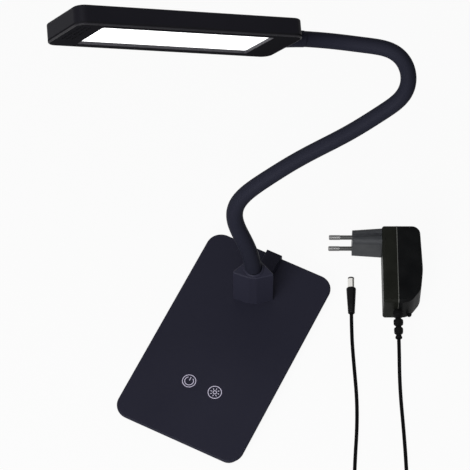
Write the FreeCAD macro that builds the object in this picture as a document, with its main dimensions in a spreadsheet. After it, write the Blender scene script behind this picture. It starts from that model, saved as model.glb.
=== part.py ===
"""Touch-controlled LED desk lamp on a weighted plate, with a gooseneck and a plug-in power supply.

Frame: millimetres, +Z up, origin at the middle of the anti-slip pad's underside, +Y towards the back
edge that carries the power inlet.  The gooseneck is a chain of short curved spans: every span starts
with a ball that turns in the cup at the end of the span before it.
"""
import FreeCAD, Part
import math
import os
import re

import Sketcher

Vector = FreeCAD.Vector
doc = FreeCAD.newDocument("TouchLamp")

# ------------------------------------------------------------------ driving sizes (millimetres, degrees)
SIZES = [
    # the weighted plate
    ("base_width", 110, "plate, left to right"),
    ("base_depth", 183, "plate, front to back"),
    ("base_corner", 12.5, "plate corner radius in plan"),
    ("base_height", 12, "floor to the plate's top"),
    ("cover_edge", 4.5, "height of the top cover's edge"),
    ("cover_top", 2, "thickness of the cover under the fingers"),
    ("cover_inset", 5, "cover edge to its inner cavity"),
    ("edge_round", 1.2, "rounding of the cover's upper rim"),
    ("edge_bevel", 2.6, "bevel under the cover's rim"),
    ("pad_thickness", 1.5, "anti-slip pad"),
    ("pad_inset", 8, "plate edge to the anti-slip pad"),
    ("pan_inset", 3.5, "plate edge to the bottom pan"),
    ("pan_floor", 1.5, "bottom pan floor"),
    ("pan_wall", 1.5, "bottom pan wall"),
    ("ballast_thickness", 3, "steel plate"),
    ("ballast_margin", 1, "gap between steel plate and pan wall"),
    ("ballast_back", 20, "pan's back wall to the steel plate"),
    ("ballast_hole", 12, "radius of the hole round the neck nut"),
    ("ballast_corner", 14, "cut across the steel plate's corners, clear of the screw bosses"),
    ("boss_radius", 3.5, "screw bosses under the cover"),
    ("boss_inset", 10, "plate edge to the screw bosses"),
    ("seat_gap", 0.1, "assembly clearance between nested pieces"),
    ("touch_spacing", 22.8, "between the two touch keys"),
    ("touch_inset", 50.5, "plate's front edge to the touch keys"),
    ("touch_spring_radius", 4, "touch contact spring"),
    ("board_width", 66, "control board, left to right"),
    ("board_depth", 30, "control board, front to back"),
    ("board_thickness", 1.6, "all circuit boards"),
    ("screw_radius", 1.4, "case screw shank"),
    ("screw_head", 2.6, "case screw head radius"),
    ("screw_head_height", 0.9, "case screw head"),
    # the power inlet
    ("inlet_width", 13.5, "raised inlet housing"),
    ("inlet_depth", 17, "raised inlet housing, front to back"),
    ("inlet_rise", 5.5, "inlet housing above the plate"),
    ("inlet_wall", 1.4, "inlet housing wall"),
    ("jack_width", 9, "power jack body"),
    ("jack_height", 9.5, "power jack body"),
    ("jack_length", 14, "power jack body"),
    ("jack_axis", 5, "jack underside to its socket's axis"),
    ("jack_seat", 5, "floor to the jack's underside"),
    ("jack_clearance", 0.15, "jack socket round the plug's barrel"),
    ("jack_mouth", 3.6, "radius of the opening in the housing"),
    ("barrel_radius", 2.75, "power plug barrel"),
    ("barrel_length", 9.5, "power plug barrel"),
    ("jack_pin", 1.0, "centre pin radius"),
    # the neck socket on the plate
    ("socket_inset", 39.5, "plate's back edge to the neck axis"),
    ("socket_width", 32, "faceted socket block"),
    ("socket_height", 43.5, "faceted socket block"),
    ("socket_front", 9, "neck axis to the narrow front facet"),
    ("socket_back", 9, "neck axis to the back facet"),
    ("socket_side", 1.5, "block's side facets, front to back"),
    ("socket_facet", 6.4, "narrow front facet"),
    ("socket_recede", 4, "how far the wide facets fall back"),
    ("socket_bevel", 0.6, "bevel round the block's top"),
    ("socket_seat", 10.5, "block's top down to the neck's seat"),
    ("socket_turn", 22, "block turned about the neck axis"),
    ("collar_radius", 8.2, "ring round the neck's foot"),
    ("collar_height", 1.6, "ring round the neck's foot"),
    ("ferrule_radius", 5, "threaded lower ferrule"),
    ("ferrule_bore", 2, "wire passage"),
    ("nut_radius", 8, "neck nut, across corners"),
    ("nut_height", 3, "neck nut"),
    # the gooseneck
    ("neck_radius", 6.1, "silicone sleeve"),
    ("core_radius", 4.6, "steel gooseneck tube"),
    ("core_bore", 2.5, "steel gooseneck tube, inside"),
    ("joint_gap", 0.3, "gap between a ball and its cup"),
    ("foot_boot_radius", 6.8, "boot at the foot, lower end"),
    ("boot_length", 12, "both boots"),
    ("boot_lip", 0.3, "wall of a boot at its thin end"),
    ("spigot_length", 5, "ferrule inside the gooseneck tube"),
    # the lamp head
    ("head_length", 187.5, "neck end to free end"),
    ("head_width", 59, "across the head"),
    ("head_height", 15, "thickness of the head"),
    ("head_corner", 8, "head corner radius in plan"),
    ("head_round", 1.6, "rounding of the top rim"),
    ("head_wall", 2, "head shell walls"),
    ("head_roll", 70.1, "head turned about the neck's last run, from level"),
    ("frame_thickness", 2.5, "underside frame"),
    ("frame_bevel", 0.8, "bevel round the underside"),
    ("window_end", 22.8, "head's ends to the light opening"),
    ("window_side", 6.9, "head's long sides to the light opening"),
    ("window_corner", 2, "light opening corner radius"),
    ("panel_lap", 2, "diffuser resting on the frame all round"),
    ("diffuser_thickness", 1.5, "white panel"),
    ("guide_thickness", 2.5, "light guide"),
    ("reflector_thickness", 0.3, "reflector sheet"),
    ("spreader_thickness", 1, "aluminium heat spreader"),
    ("spreader_overhang", 8, "heat spreader beyond the light guide"),
    ("led_size", 2, "light emitter, square"),
    ("led_depth", 0.8, "light emitter, towards the guide"),
    ("led_pitch", 7.5, "between light emitters"),
    ("vent_length", 9.5, "one vent slot"),
    ("vent_width", 1.6, "one vent slot"),
    ("vent_pitch", 3.8, "between slots, along the head"),
    ("vent_row_pitch", 12, "between slots, across the head"),
    ("vent_end", 9.8, "free end to the middle vent"),
    ("vent_side", 5.5, "head's middle line to the middle vent"),
    ("spigot_radius", 3.7, "upper ferrule inside the head"),
    ("spigot_reach", 5, "upper ferrule beyond the head's end wall"),
    ("spigot_groove", 0.7, "groove depth for the retaining plate"),
    ("holder_width", 16, "retaining plate on the upper ferrule"),
    ("holder_thickness", 1.5, "retaining plate on the upper ferrule"),
    # the power supply
    ("supply_turn", 26.2, "supply turned on the floor"),
    ("supply_left", 127.4, "supply body, side that faces the wall"),
    ("supply_near", 30.4, "supply body, end where the cord leaves"),
    ("supply_depth", 32.4, "supply body, wall to back"),
    ("supply_length", 70, "supply body, end to end"),
    ("supply_width", 30, "supply body, as it lies"),
    ("supply_wall", 2, "supply shells"),
    ("supply_parting", 12, "depth of the front shell"),
    ("supply_round", 7, "back shell's rounding at its far end"),
    ("supply_rim", 2.5, "rounding round both broad sides"),
    ("front_round", 2, "front shell's rounding at the wall"),
    ("heel_depth", 11, "slope at the back shell's cord end, from the back"),
    ("heel_length", 12, "slope at the back shell's cord end, lengthways"),
    ("heel_side", 2, "back's recess where the slope ends"),
    ("heel_round", 12, "roundings of the slope"),
    ("bulge_place", 30, "cord end to the back's furthest place"),
    ("bulge", 1.5, "back's recess at the far end"),
    ("transformer_depth", 16, "transformer, standing off its board"),
    ("transformer_length", 20, "transformer"),
    ("transformer_height", 18, "transformer"),
    ("can_radius", 4.5, "capacitor"),
    ("can_length", 15, "capacitor"),
    ("can_inset", 8, "board's ends to the capacitors' axes"),
    ("board_inset", 4, "supply walls to the board's ends"),
    ("collar_length", 24, "plug collar"),
    ("collar_across", 15, "plug collar at the body"),
    ("collar_nose", 12.5, "plug collar at the pins"),
    ("collar_span", 28, "plug collar over both pins"),
    ("collar_corner", 4, "plug collar's long edges"),
    ("collar_place", 61.6, "cord end to the pins' axis"),
    ("pin_radius", 2, "mains pin"),
    ("pin_length", 19, "mains pin outside the collar"),
    ("pin_sleeve", 10, "insulated part of a mains pin"),
    ("sleeve_radius", 1.8, "insulation on a mains pin"),
    ("pin_round", 0.8, "rounding of a mains pin's tip"),
    ("collar_groove", 3, "width of the groove along the plug collar"),
    ("groove_depth", 0.8, "groove along the plug collar"),
    ("pin_neck", 1.5, "mains pin inside its sleeve"),
    ("pin_root", 7, "mains pin held in the collar"),
    ("pin_spacing", 18.6, "between the mains pins"),
    ("relief_length", 26, "strain relief"),
    ("relief_radius", 4.2, "strain relief bead"),
    ("cord_radius", 1.5, "power cord"),
    ("coil_radius", 17.5, "middle of the coil's turns"),
    ("coil_width", 9.5, "coil section, across"),
    ("coil_height", 9, "coil section, upwards"),
    ("coil_across", 122.5, "coil centre along the supply's depth"),
    ("coil_near", -145, "coil centre along the supply's length"),
    ("tie_width", 4, "coil tie"),
    ("tie_thickness", 0.6, "coil tie"),
    ("plug_across", 102.3, "power plug's cord end, along the supply's depth"),
    ("plug_near", 33, "power plug's cord end, along the supply's length"),
    ("plug_turn", 89.5, "power plug turned from the supply's depth"),
    ("handle_length", 23, "power plug handle"),
    ("handle_radius", 4, "power plug handle at the barrel"),
    ("handle_tail", 2.75, "power plug handle at the cord"),
    ("tip_length", 1.4, "insulating ring at the barrel's tip"),
    ("barrel_root", 4, "barrel inside the handle"),
    ("barrel_step", 0.25, "barrel's root below its outside"),
    ("barrel_wall", 0.6, "power plug barrel"),
    ("plug_straight", 11, "cord straight behind the handle"),
]

# Route of the gooseneck's centre line from the top of the socket block: corners of its bends.
NECK_ROUTE = [(0, 0, 0), (0, 0, 28), (-25, 5.4, 82.5), (9.4, 42.2, 118.3), (50.3, 74.7, 149.8),
              (80.9, 107.2, 178.4), (60.8, 132, 189.3), (9, 118, 186), (-19.9, 93.9, 203.7)]
NECK_BENDS = [0.9, 0.56, 0.9, 0.9, 0.9, 0.9, 0.9]

# Routes of the cord on the floor, in the supply's own directions: depth, length, height.
SUPPLY_ROUTE = [(139.4, -9, 14.2), (139.6, -25, 6.2), (140.4, -44, 1.55), (141.8, -68, 1.55),
                (143, -96, 1.55), (143.4, -122, 1.55), (143.1, -145, 1.55)]
PLUG_ROUTE = [(101.9, -145, 1.55), (101.7, -122, 1.55), (102.8, -96, 1.55), (105, -68, 1.55),
              (105.4, -42, 1.55), (103.8, -16, 1.55), (102.5, 6, 2.4)]

ALIASES = {alias for alias, _, _ in SIZES}
sheet = doc.addObject("Spreadsheet::Sheet", "Sizes")
for row, (alias, value, meaning) in enumerate(SIZES, start=1):
    sheet.set(f"A{row}", meaning)
    sheet.set(f"B{row}", str(value))
    sheet.setAlias(f"B{row}", alias)
doc.recompute()


# ------------------------------------------------------------------ helpers
def linked(expression):
    """The expression with each alias of the sheet written as Sizes.alias."""
    def with_sheet(word):
        return "Sizes." + word.group() if word.group() in ALIASES else word.group()
    return re.sub(r"[a-z_]+", with_sheet, str(expression))


def number(expression):
    """The value of an expression in the sheet's aliases."""
    return float(sheet.evalExpression(str(expression)))


def bind(item, **properties):
    """Tie properties of a document object to expressions; a double underscore stands for a dot."""
    for name, expression in properties.items():
        item.setExpression(name.replace("__", "."), linked(expression))


def point(*expressions):
    """A vector from three expressions."""
    return Vector(*[number(expression) for expression in expressions])


subparts = {}


def subpart(label, item, frame=None):
    """Name a finished object as a sub-part and put it in its frame."""
    if frame is not None and item.TypeId in ("Part::Box", "Part::Cylinder"):
        item = group(label, [item])
    item.Label = label
    if frame is not None:
        item.Placement = frame.multiply(item.Placement)
    subparts[label] = item
    return item


def new_body(label):
    """An empty PartDesign body."""
    return doc.addObject("PartDesign::Body", label)


def sketch_on(body, plane, height):
    """An empty sketch on one of the body's origin planes, lifted along that plane's normal."""
    sketch = body.newObject("Sketcher::SketchObject", "Outline")
    support = next(item for item in body.Origin.OriginFeatures if item.Role == plane)
    sketch.AttachmentSupport = [(support, "")]
    sketch.MapMode = "FlatFace"
    bind(sketch, AttachmentOffset__Base__z=height)
    return sketch


def add_polygon(sketch, corners):
    """Draw a closed outline whose corners are pairs of expressions, each held by two dimensions."""
    places = [(number(across), number(along)) for across, along in corners]
    first = sketch.GeometryCount
    count = len(corners)
    for index in range(count):
        start, end = places[index], places[(index + 1) % count]
        sketch.addGeometry(Part.LineSegment(Vector(*start, 0), Vector(*end, 0)), False)
    for index in range(count):
        following = (index + 1) % count
        sketch.addConstraint(Sketcher.Constraint("Coincident", first + index, 2, first + following, 1))
        for kind, value, expression in zip(("DistanceX", "DistanceY"), places[index], corners[index]):
            held = sketch.addConstraint(Sketcher.Constraint(kind, -1, 1, first + index, 1, value))
            sketch.setExpression(f"Constraints[{held}]", linked(expression))


def add_circle(sketch, across, along, radius):
    """Draw a circle with its centre and radius held by expressions."""
    centre = (number(across), number(along))
    circle = sketch.addGeometry(Part.Circle(Vector(*centre, 0), Vector(0, 0, 1), number(radius)), False)
    for kind, value, expression in zip(("DistanceX", "DistanceY"), centre, (across, along)):
        held = sketch.addConstraint(Sketcher.Constraint(kind, -1, 1, circle, 3, value))
        sketch.setExpression(f"Constraints[{held}]", linked(expression))
    held = sketch.addConstraint(Sketcher.Constraint("Radius", circle, number(radius)))
    sketch.setExpression(f"Constraints[{held}]", linked(radius))


def rectangle(left, right, near, far):
    """Corner expressions of a rectangle."""
    return [(left, near), (right, near), (right, far), (left, far)]


def centred(length, width):
    """Corner expressions of a rectangle about the sketch's origin."""
    return rectangle(f"-({length}) / 2", f"({length}) / 2", f"-({width}) / 2", f"({width}) / 2")


def polygons(body, outlines, height="0", plane="XY_Plane"):
    """A sketch of one or more closed outlines."""
    sketch = sketch_on(body, plane, height)
    for corners in outlines:
        add_polygon(sketch, corners)
    return sketch


def circles(body, rings, height="0", plane="XY_Plane"):
    """A sketch of circles, each (across, along, radius)."""
    sketch = sketch_on(body, plane, height)
    for across, along, radius in rings:
        add_circle(sketch, across, along, radius)
    return sketch


def pad(body, sketch, length):
    """Raise a sketch along its normal."""
    feature = body.newObject("PartDesign::Pad", "Pad")
    feature.Profile = sketch
    bind(feature, Length=length)
    doc.recompute()
    return feature


def pocket(body, sketch, depth):
    """Sink a sketch against its normal; it has to take material away."""
    before = body.Shape.Volume
    feature = body.newObject("PartDesign::Pocket", "Pocket")
    feature.Profile = sketch
    bind(feature, Length=depth)
    doc.recompute()
    if body.Shape.Volume >= before:
        raise RuntimeError(f"a pocket cuts nothing from {body.Name}")
    return feature


def revolve(body, outline_points):
    """Turn an outline (along the axis, out from the axis) about the body's X axis."""
    sketch = polygons(body, [outline_points])
    axis = next(item for item in body.Origin.OriginFeatures if item.Role == "X_Axis")
    feature = body.newObject("PartDesign::Revolution", "Revolution")
    feature.Profile = sketch
    feature.ReferenceAxis = (axis, [""])
    feature.Angle = 360
    doc.recompute()
    return feature


def upright(edge):
    """True for a straight edge along Z."""
    box = edge.BoundBox
    return box.XLength < 1e-6 and box.YLength < 1e-6


def upright_at(corners):
    """A test for upright edges that stand at a corner of an outline."""
    places = [point(across, along, "0") for across, along in corners]

    def stands_there(edge):
        foot = Vector(edge.CenterOfMass.x, edge.CenterOfMass.y, 0)
        return upright(edge) and any(foot.distanceToPoint(place) < 0.01 for place in places)
    return stands_there


def level_at(height):
    """A test for edges that lie in the level plane at a height."""
    def lies_there(edge):
        box = edge.BoundBox
        return abs(box.ZMin - number(height)) < 1e-6 and abs(box.ZMax - number(height)) < 1e-6
    return lies_there


def dress(body, kind, chosen, **sizes):
    """Fillet or chamfer the chosen edges of the body's tip."""
    base = body.Tip
    names = [f"Edge{index}" for index, edge in enumerate(base.Shape.Edges, start=1) if chosen(edge)]
    feature = body.newObject(f"PartDesign::{kind}", kind)
    feature.Base = (base, names)
    bind(feature, **sizes)
    doc.recompute()
    return feature


def plate(body, length, width, thickness, corner, height="0", middle=("0", "0")):
    """Pad a rectangle with rounded corners."""
    across, along = middle
    corners = rectangle(f"{across} - ({length}) / 2", f"{across} + ({length}) / 2",
                        f"{along} - ({width}) / 2", f"{along} + ({width}) / 2")
    pad(body, polygons(body, [corners], height), thickness)
    if corner:
        dress(body, "Fillet", upright, Radius=corner)


def box(label, low, size):
    """A Part box from its low corner and its sizes, all expressions."""
    item = doc.addObject("Part::Box", label)
    bind(item, Length=size[0], Width=size[1], Height=size[2], Placement__Base__x=low[0],
         Placement__Base__y=low[1], Placement__Base__z=low[2])
    return item


TURNS = {"X": FreeCAD.Rotation(Vector(0, 1, 0), 90), "Y": FreeCAD.Rotation(Vector(1, 0, 0), -90),
         "Z": FreeCAD.Rotation()}


def cylinder(label, start, axis, radius, length):
    """A Part cylinder from its start point along +X, +Y or +Z."""
    item = doc.addObject("Part::Cylinder", label)
    item.Placement.Rotation = TURNS[axis]
    bind(item, Radius=radius, Height=length, Placement__Base__x=start[0],
         Placement__Base__y=start[1], Placement__Base__z=start[2])
    return item


def cut(label, base, *tools):
    """Cut tools from a base, one Part::Cut after the other."""
    for tool in tools:
        result = doc.addObject("Part::Cut", label)
        result.Base = base
        result.Tool = tool
        base = result
    doc.recompute()
    return base


def group(label, items):
    """Several separate solids in one node."""
    result = doc.addObject("Part::Compound", label)
    result.Links = items
    doc.recompute()
    return result


def screw(start, head_radius, length):
    """One screw pointing up: a flat head and a plain shank of the given overall length."""
    result = doc.addObject("Part::Fuse", "Screw")
    result.Base = cylinder("ScrewHead", start, "Z", head_radius, "screw_head_height")
    result.Tool = cylinder("ScrewShank", start, "Z", "screw_radius - 0.25", length)
    return result


def made(label, shape):
    """A Part::Feature for a form that no feature object makes, such as a tube bent in space."""
    item = doc.addObject("Part::Feature", label)
    item.Shape = shape
    return subpart(label, item)


# ------------------------------------------------------------------ tubes bent in space
def bend(before, corner, after, share=0.45):
    """Tangent arc round a corner, taking a share of the shorter run: start, middle, end, radius."""
    back, ahead = before - corner, after - corner
    trim = share * min(back.Length, ahead.Length)
    back.normalize()
    ahead.normalize()
    half_turn = (math.pi - back.getAngle(ahead)) / 2
    radius = trim / math.tan(half_turn)
    inwards = (back + ahead).normalize()
    centre = corner + inwards * (radius / math.cos(half_turn))
    return corner + back * trim, centre - inwards * radius, corner + ahead * trim, radius


def bent_wire(points, share=0.45):
    """Straight runs joined by tangent arcs, and the arcs' radii."""
    edges, radii, last = [], [], points[0]
    for before, corner, after in zip(points, points[1:], points[2:]):
        start, middle, end, radius = bend(before, corner, after, share)
        edges.append(Part.LineSegment(last, start).toShape())
        edges.append(Part.Arc(start, middle, end).toShape())
        radii.append(radius)
        last = end
    edges.append(Part.LineSegment(last, points[-1]).toShape())
    return Part.Wire(edges), radii


def tube(points, radius, share=0.45):
    """A solid round bar along a bent wire."""
    wire, radii = bent_wire(points, share)
    section = Part.Wire([Part.makeCircle(radius, points[0], points[1] - points[0])])
    solid = wire.makePipeShell([section], True, False)
    expected = math.pi * radius ** 2 * wire.Length
    if abs(solid.Volume / expected - 1) > 0.01:
        raise RuntimeError("a bent tube has the wrong volume")
    return solid, radii


# ------------------------------------------------------------------ frames of the assemblies
SOCKET_BACK = "(base_depth / 2 - socket_inset)"
TOUCH_FRONT = "(base_depth / 2 - touch_inset)"
WINDOW_LENGTH = "(head_length - 2 * window_end)"
WINDOW_WIDTH = "(head_width - 2 * window_side)"
SEAT = "(base_height + socket_height - socket_seat)"
NECK = [point("0", SOCKET_BACK, SEAT) + Vector(*corner) for corner in NECK_ROUTE]
JOINTS = [(start + end) * 0.5 for start, end in zip(NECK, NECK[1:])]

SOCKET = FreeCAD.Placement(point("0", SOCKET_BACK, "0"),
                           FreeCAD.Rotation(Vector(0, 0, 1), number("socket_turn")))
SUPPLY = FreeCAD.Placement(Vector(), FreeCAD.Rotation(Vector(0, 0, 1), number("supply_turn")))


def head_frame_placement():
    """Frame of the head: origin at the neck's end, X into the head, Z out of its top."""
    forward = (NECK[-1] - NECK[-2]).normalize()
    level_side = Vector(0, 0, 1).cross(forward).normalize()
    level = FreeCAD.Rotation(forward, level_side, Vector(), "XYZ")
    roll = FreeCAD.Rotation(Vector(1, 0, 0), number("head_roll"))
    return FreeCAD.Placement(NECK[-1], level.multiply(roll))


HEAD = head_frame_placement()
PLUG = SUPPLY.multiply(FreeCAD.Placement(point("plug_across", "plug_near", "handle_radius"),
                                         FreeCAD.Rotation(Vector(0, 0, 1), number("plug_turn"))))
UPWARDS = FreeCAD.Placement(point("0", SOCKET_BACK, "0"), FreeCAD.Rotation(Vector(0, 1, 0), -90))


# ------------------------------------------------------------------ the weighted plate
def case_screw_places():
    """Where the bottom pan is screwed to the cover: near each corner of the plate."""
    return [(f"{side} * (base_width / 2 - boss_inset)", f"{end} * (base_depth / 2 - boss_inset)")
            for end in (-1, 1) for side in (-1, 1)]


def plate_cover():
    """Top cover: thin rounded plate with a bevelled rim, a cavity and the raised inlet housing."""
    body = new_body("base_cover")
    plate(body, "base_width", "base_depth", "cover_edge", "base_corner", "base_height - cover_edge")
    dress(body, "Fillet", level_at("base_height"), Radius="edge_round")
    dress(body, "Chamfer", level_at("base_height - cover_edge"), Size="edge_bevel")
    half = "inlet_width / 2"
    back = "base_depth / 2"
    housing = rectangle(f"-{half}", half, f"{back} - inlet_depth", back)
    pad(body, polygons(body, [housing], "base_height - cover_edge"), "cover_edge + inlet_rise")
    dress(body, "Fillet", level_at("base_height + inlet_rise"), Radius="1")
    cavity = centred("base_width - 2 * cover_inset", "base_depth - 2 * cover_inset")
    pocket(body, polygons(body, [cavity], "base_height - cover_top"), "cover_edge")
    inner = rectangle("-jack_width / 2 - seat_gap", "jack_width / 2 + seat_gap",
                      f"{back} - inlet_wall - jack_length - 2 * seat_gap", f"{back} - inlet_wall")
    pocket(body, polygons(body, [inner], "jack_seat + jack_height + seat_gap"), "jack_seat + jack_height")
    bosses = [(across, along, "boss_radius") for across, along in case_screw_places()]
    pad(body, circles(body, bosses, "pad_thickness + pan_floor + seat_gap"),
        "base_height - cover_top / 2 - (pad_thickness + pan_floor + seat_gap)")
    pilots = [(across, along, "screw_radius - 0.2") for across, along in case_screw_places()]
    pocket(body, circles(body, pilots, "base_height - cover_top"), "base_height")
    mouth = circles(body, [("0", "jack_seat + jack_axis", "jack_mouth")],
                    f"-({back} - inlet_wall - seat_gap)", "XZ_Plane")
    pocket(body, mouth, "inlet_wall + 1")
    neck_hole = circles(body, [("0", SOCKET_BACK, "ferrule_radius + seat_gap")], "base_height + 1")
    pocket(body, neck_hole, "cover_edge")
    subpart("base_cover", body)


def plate_pan():
    """Bottom pan: floor and walls under the cover, a step for the jack and a hole for each screw."""
    body = new_body("base_pan")
    height = "base_height - cover_edge - pad_thickness"
    outer_width = "base_width - 2 * pan_inset"
    outer_depth = "base_depth - 2 * pan_inset"
    outline = centred(outer_width, outer_depth)
    pad(body, polygons(body, [outline], "pad_thickness"), height)
    inside = centred(f"{outer_width} - 2 * pan_wall", f"{outer_depth} - 2 * pan_wall")
    pocket(body, polygons(body, [inside], "base_height - cover_edge"), f"{height} - pan_floor")
    dress(body, "Fillet", upright_at(outline), Radius="base_corner - pan_inset")
    dress(body, "Fillet", upright_at(inside), Radius="base_corner - pan_inset - pan_wall")
    lug = rectangle("-inlet_width / 2", "inlet_width / 2",
                    "base_depth / 2 - inlet_depth", "base_depth / 2 - inlet_wall")
    pad(body, polygons(body, [lug], "pad_thickness"), "jack_seat - pad_thickness")
    slot = rectangle("-jack_width / 2 - seat_gap", "jack_width / 2 + seat_gap",
                     "base_depth / 2 - inlet_depth", "base_depth / 2 + 1")
    pocket(body, polygons(body, [slot], "base_height - cover_edge"), "base_height - cover_edge - jack_seat")
    floor_top = "pad_thickness + pan_floor"
    holes = [(across, along, "screw_radius") for across, along in case_screw_places()]
    pocket(body, circles(body, holes, floor_top), "pan_floor")
    heads = [(across, along, "screw_head + seat_gap") for across, along in case_screw_places()]
    pocket(body, circles(body, heads, "pad_thickness + screw_head_height + seat_gap"), "pan_floor")
    subpart("base_pan", body)


def plate_insides():
    """Anti-slip pad, steel ballast, control board and touch springs."""
    pad_body = new_body("anti_slip_pad")
    plate(pad_body, "base_width - 2 * pad_inset", "base_depth - 2 * pad_inset", "pad_thickness", "4")
    subpart("anti_slip_pad", pad_body)

    ballast = new_body("ballast_plate")
    margin = "(pan_inset + pan_wall + ballast_margin)"
    back_edge = "base_depth / 2 - pan_inset - pan_wall - ballast_back"
    outline = rectangle(f"-base_width / 2 + {margin}", f"base_width / 2 - {margin}",
                        f"-base_depth / 2 + {margin}", back_edge)
    floor_top = "pad_thickness + pan_floor"
    pad(ballast, polygons(ballast, [outline], floor_top), "ballast_thickness")
    dress(ballast, "Chamfer", upright, Size="ballast_corner")
    hole = circles(ballast, [("0", SOCKET_BACK, "ballast_hole")], f"{floor_top} + ballast_thickness")
    pocket(ballast, hole, "ballast_thickness")
    subpart("ballast_plate", ballast)

    board_low = f"{floor_top} + ballast_thickness + seat_gap"
    board_top = f"{board_low} + board_thickness"
    corner = ("-board_width / 2", f"-{TOUCH_FRONT} - board_depth / 2", board_low)
    subpart("touch_board", box("TouchBoard", corner, ("board_width", "board_depth", "board_thickness")))
    springs = []
    for side in (-1, 1):
        start = (f"{side} * touch_spacing / 2", f"-{TOUCH_FRONT}", f"{board_top}")
        height = f"base_height - cover_top - ({board_top})"
        spring = cylinder("Spring", start, "Z", "touch_spring_radius", height)
        inside = cylinder("SpringInside", start, "Z", "touch_spring_radius - 0.6", height)
        springs.append(cut("TouchSpring", spring, inside))
    subpart("touch_springs", group("TouchSprings", springs))

    screws = []
    for across, along in case_screw_places():
        start = (across, along, "pad_thickness + seat_gap / 2")
        screws.append(screw(start, "screw_head", "base_height - cover_top - pad_thickness - 1"))
    subpart("base_screws", group("BaseScrews", screws))


def power_inlet():
    """Jack body with its round socket, and the centre pin in it."""
    front = "base_depth / 2 - inlet_wall - seat_gap"
    axis_height = "jack_seat + jack_axis"
    body = box("JackBody", ("-jack_width / 2", f"{front} - jack_length", "jack_seat"),
               ("jack_width", "jack_length", "jack_height"))
    socket = cylinder("JackSocket", ("0", f"{front} - barrel_length - 1", axis_height), "Y",
                      "barrel_radius + jack_clearance", "barrel_length + 2")
    subpart("dc_jack", cut("Jack", body, socket))
    start = ("0", f"{front} - barrel_length - 1", axis_height)
    subpart("dc_jack_pin", cylinder("JackPin", start, "Y", "jack_pin", "barrel_length"))


# ------------------------------------------------------------------ the neck socket
def neck_socket():
    """Faceted block, ring round the neck's foot, boot, ferrule and nut."""
    body = new_body("neck_socket")
    facet, side, top = "socket_facet / 2", "socket_width / 2", "base_height + socket_height"
    shoulder, rear = "(socket_recede - socket_front)", "(socket_recede - socket_front + socket_side)"
    back = f"({side} - socket_back + {rear})"
    corners = [(f"-{facet}", "-socket_front"), (facet, "-socket_front"), (side, shoulder), (side, rear),
               (back, "socket_back"), (f"-{back}", "socket_back"), (f"-{side}", rear), (f"-{side}", shoulder)]
    pad(body, polygons(body, [corners], "base_height"), "socket_height")
    dress(body, "Chamfer", level_at(top), Size="socket_bevel")
    pocket(body, circles(body, [("0", "0", "ferrule_radius + seat_gap")], top), "socket_height")
    pocket(body, circles(body, [("0", "0", "foot_boot_radius + seat_gap")], top), "socket_seat")
    subpart("neck_socket", body, SOCKET)

    collar = new_body("socket_collar")
    inner = "foot_boot_radius + seat_gap"
    crest, middle = f"{top} + collar_height", f"{top} + collar_height / 2"
    revolve(collar, [(top, inner), (crest, inner), (crest, f"{inner} + 0.4"), (middle, "collar_radius"),
                     (top, "collar_radius")])
    subpart("socket_collar", collar, UPWARDS)

    boot = new_body("foot_boot")
    bore_radius = "neck_radius + seat_gap / 2"
    revolve(boot, [(SEAT, bore_radius), (f"{SEAT} + boot_length", bore_radius),
                   (f"{SEAT} + boot_length", f"{bore_radius} + boot_lip"), (SEAT, "foot_boot_radius")])
    subpart("foot_boot", boot, UPWARDS)

    ferrule = new_body("foot_ferrule")
    nut_top = "base_height - cover_top"
    start = f"({nut_top} - nut_height - 1)"
    spigot, spigot_top = "core_bore - seat_gap / 2", f"{SEAT} + 1 + spigot_length"
    revolve(ferrule, [(start, "ferrule_bore"), (spigot_top, "ferrule_bore"), (spigot_top, spigot),
                      (f"{SEAT} + 1", spigot), (f"{SEAT} + 1", "core_radius"), (SEAT, "core_radius"),
                      (SEAT, "ferrule_radius"), (start, "ferrule_radius")])
    subpart("foot_ferrule", ferrule, UPWARDS)

    nut = doc.addObject("Part::Prism", "Nut")
    nut.Polygon = 6
    bind(nut, Circumradius="nut_radius", Height="nut_height", Placement__Base__y=SOCKET_BACK,
         Placement__Base__z=f"{nut_top} - nut_height")
    bore = cylinder("NutBore", ("0", SOCKET_BACK, f"{nut_top} - nut_height - 1"), "Z",
                    "ferrule_radius + 0.02", "nut_height + 2")
    subpart("neck_nut", cut("NeckNut", nut, bore))


# ------------------------------------------------------------------ the gooseneck
def neck_spans():
    """Silicone sleeve and steel tube of each span, from a ball at its first joint to a cup at its last."""
    sleeve, core, bore = number("neck_radius"), number("core_radius"), number("core_bore")
    gap, slack = number("joint_gap"), number("seat_gap")
    last = len(JOINTS)
    for index in range(last + 1):
        starts_in_ball, ends_in_cup = index > 0, index < last
        if not starts_in_ball:
            points = [NECK[0], JOINTS[0]]
        elif not ends_in_cup:
            points = [JOINTS[-1], NECK[-1]]
        else:
            points = [JOINTS[index - 1], NECK[index], JOINTS[index]]
        share = NECK_BENDS[index - 1] if starts_in_ball and ends_in_cup else 0.9
        first_run = (points[1] - points[0]).normalize()
        final_run = (points[-1] - points[-2]).normalize()
        core_points = list(points)
        if not starts_in_ball:
            core_points[0] = points[0] + first_run
        if ends_in_cup:
            core_points[-1] = points[-1] - final_run * (sleeve + 2 * gap)
        else:
            core_points[-1] = points[-1] - final_run
        outer = tube(points, sleeve, share)[0]
        if starts_in_ball:
            outer = outer.fuse(Part.makeSphere(sleeve, points[0])).removeSplitter()
        outer = outer.cut(tube(points, core + slack, share)[0])
        if ends_in_cup:
            outer = outer.cut(Part.makeSphere(sleeve + gap, points[-1]))
        steel = span_core(points, core_points, core, share).cut(span_core(points, core_points, bore, share))
        made(f"neck_sleeve_{index}", outer)
        made(f"neck_core_{index}", steel)


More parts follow.
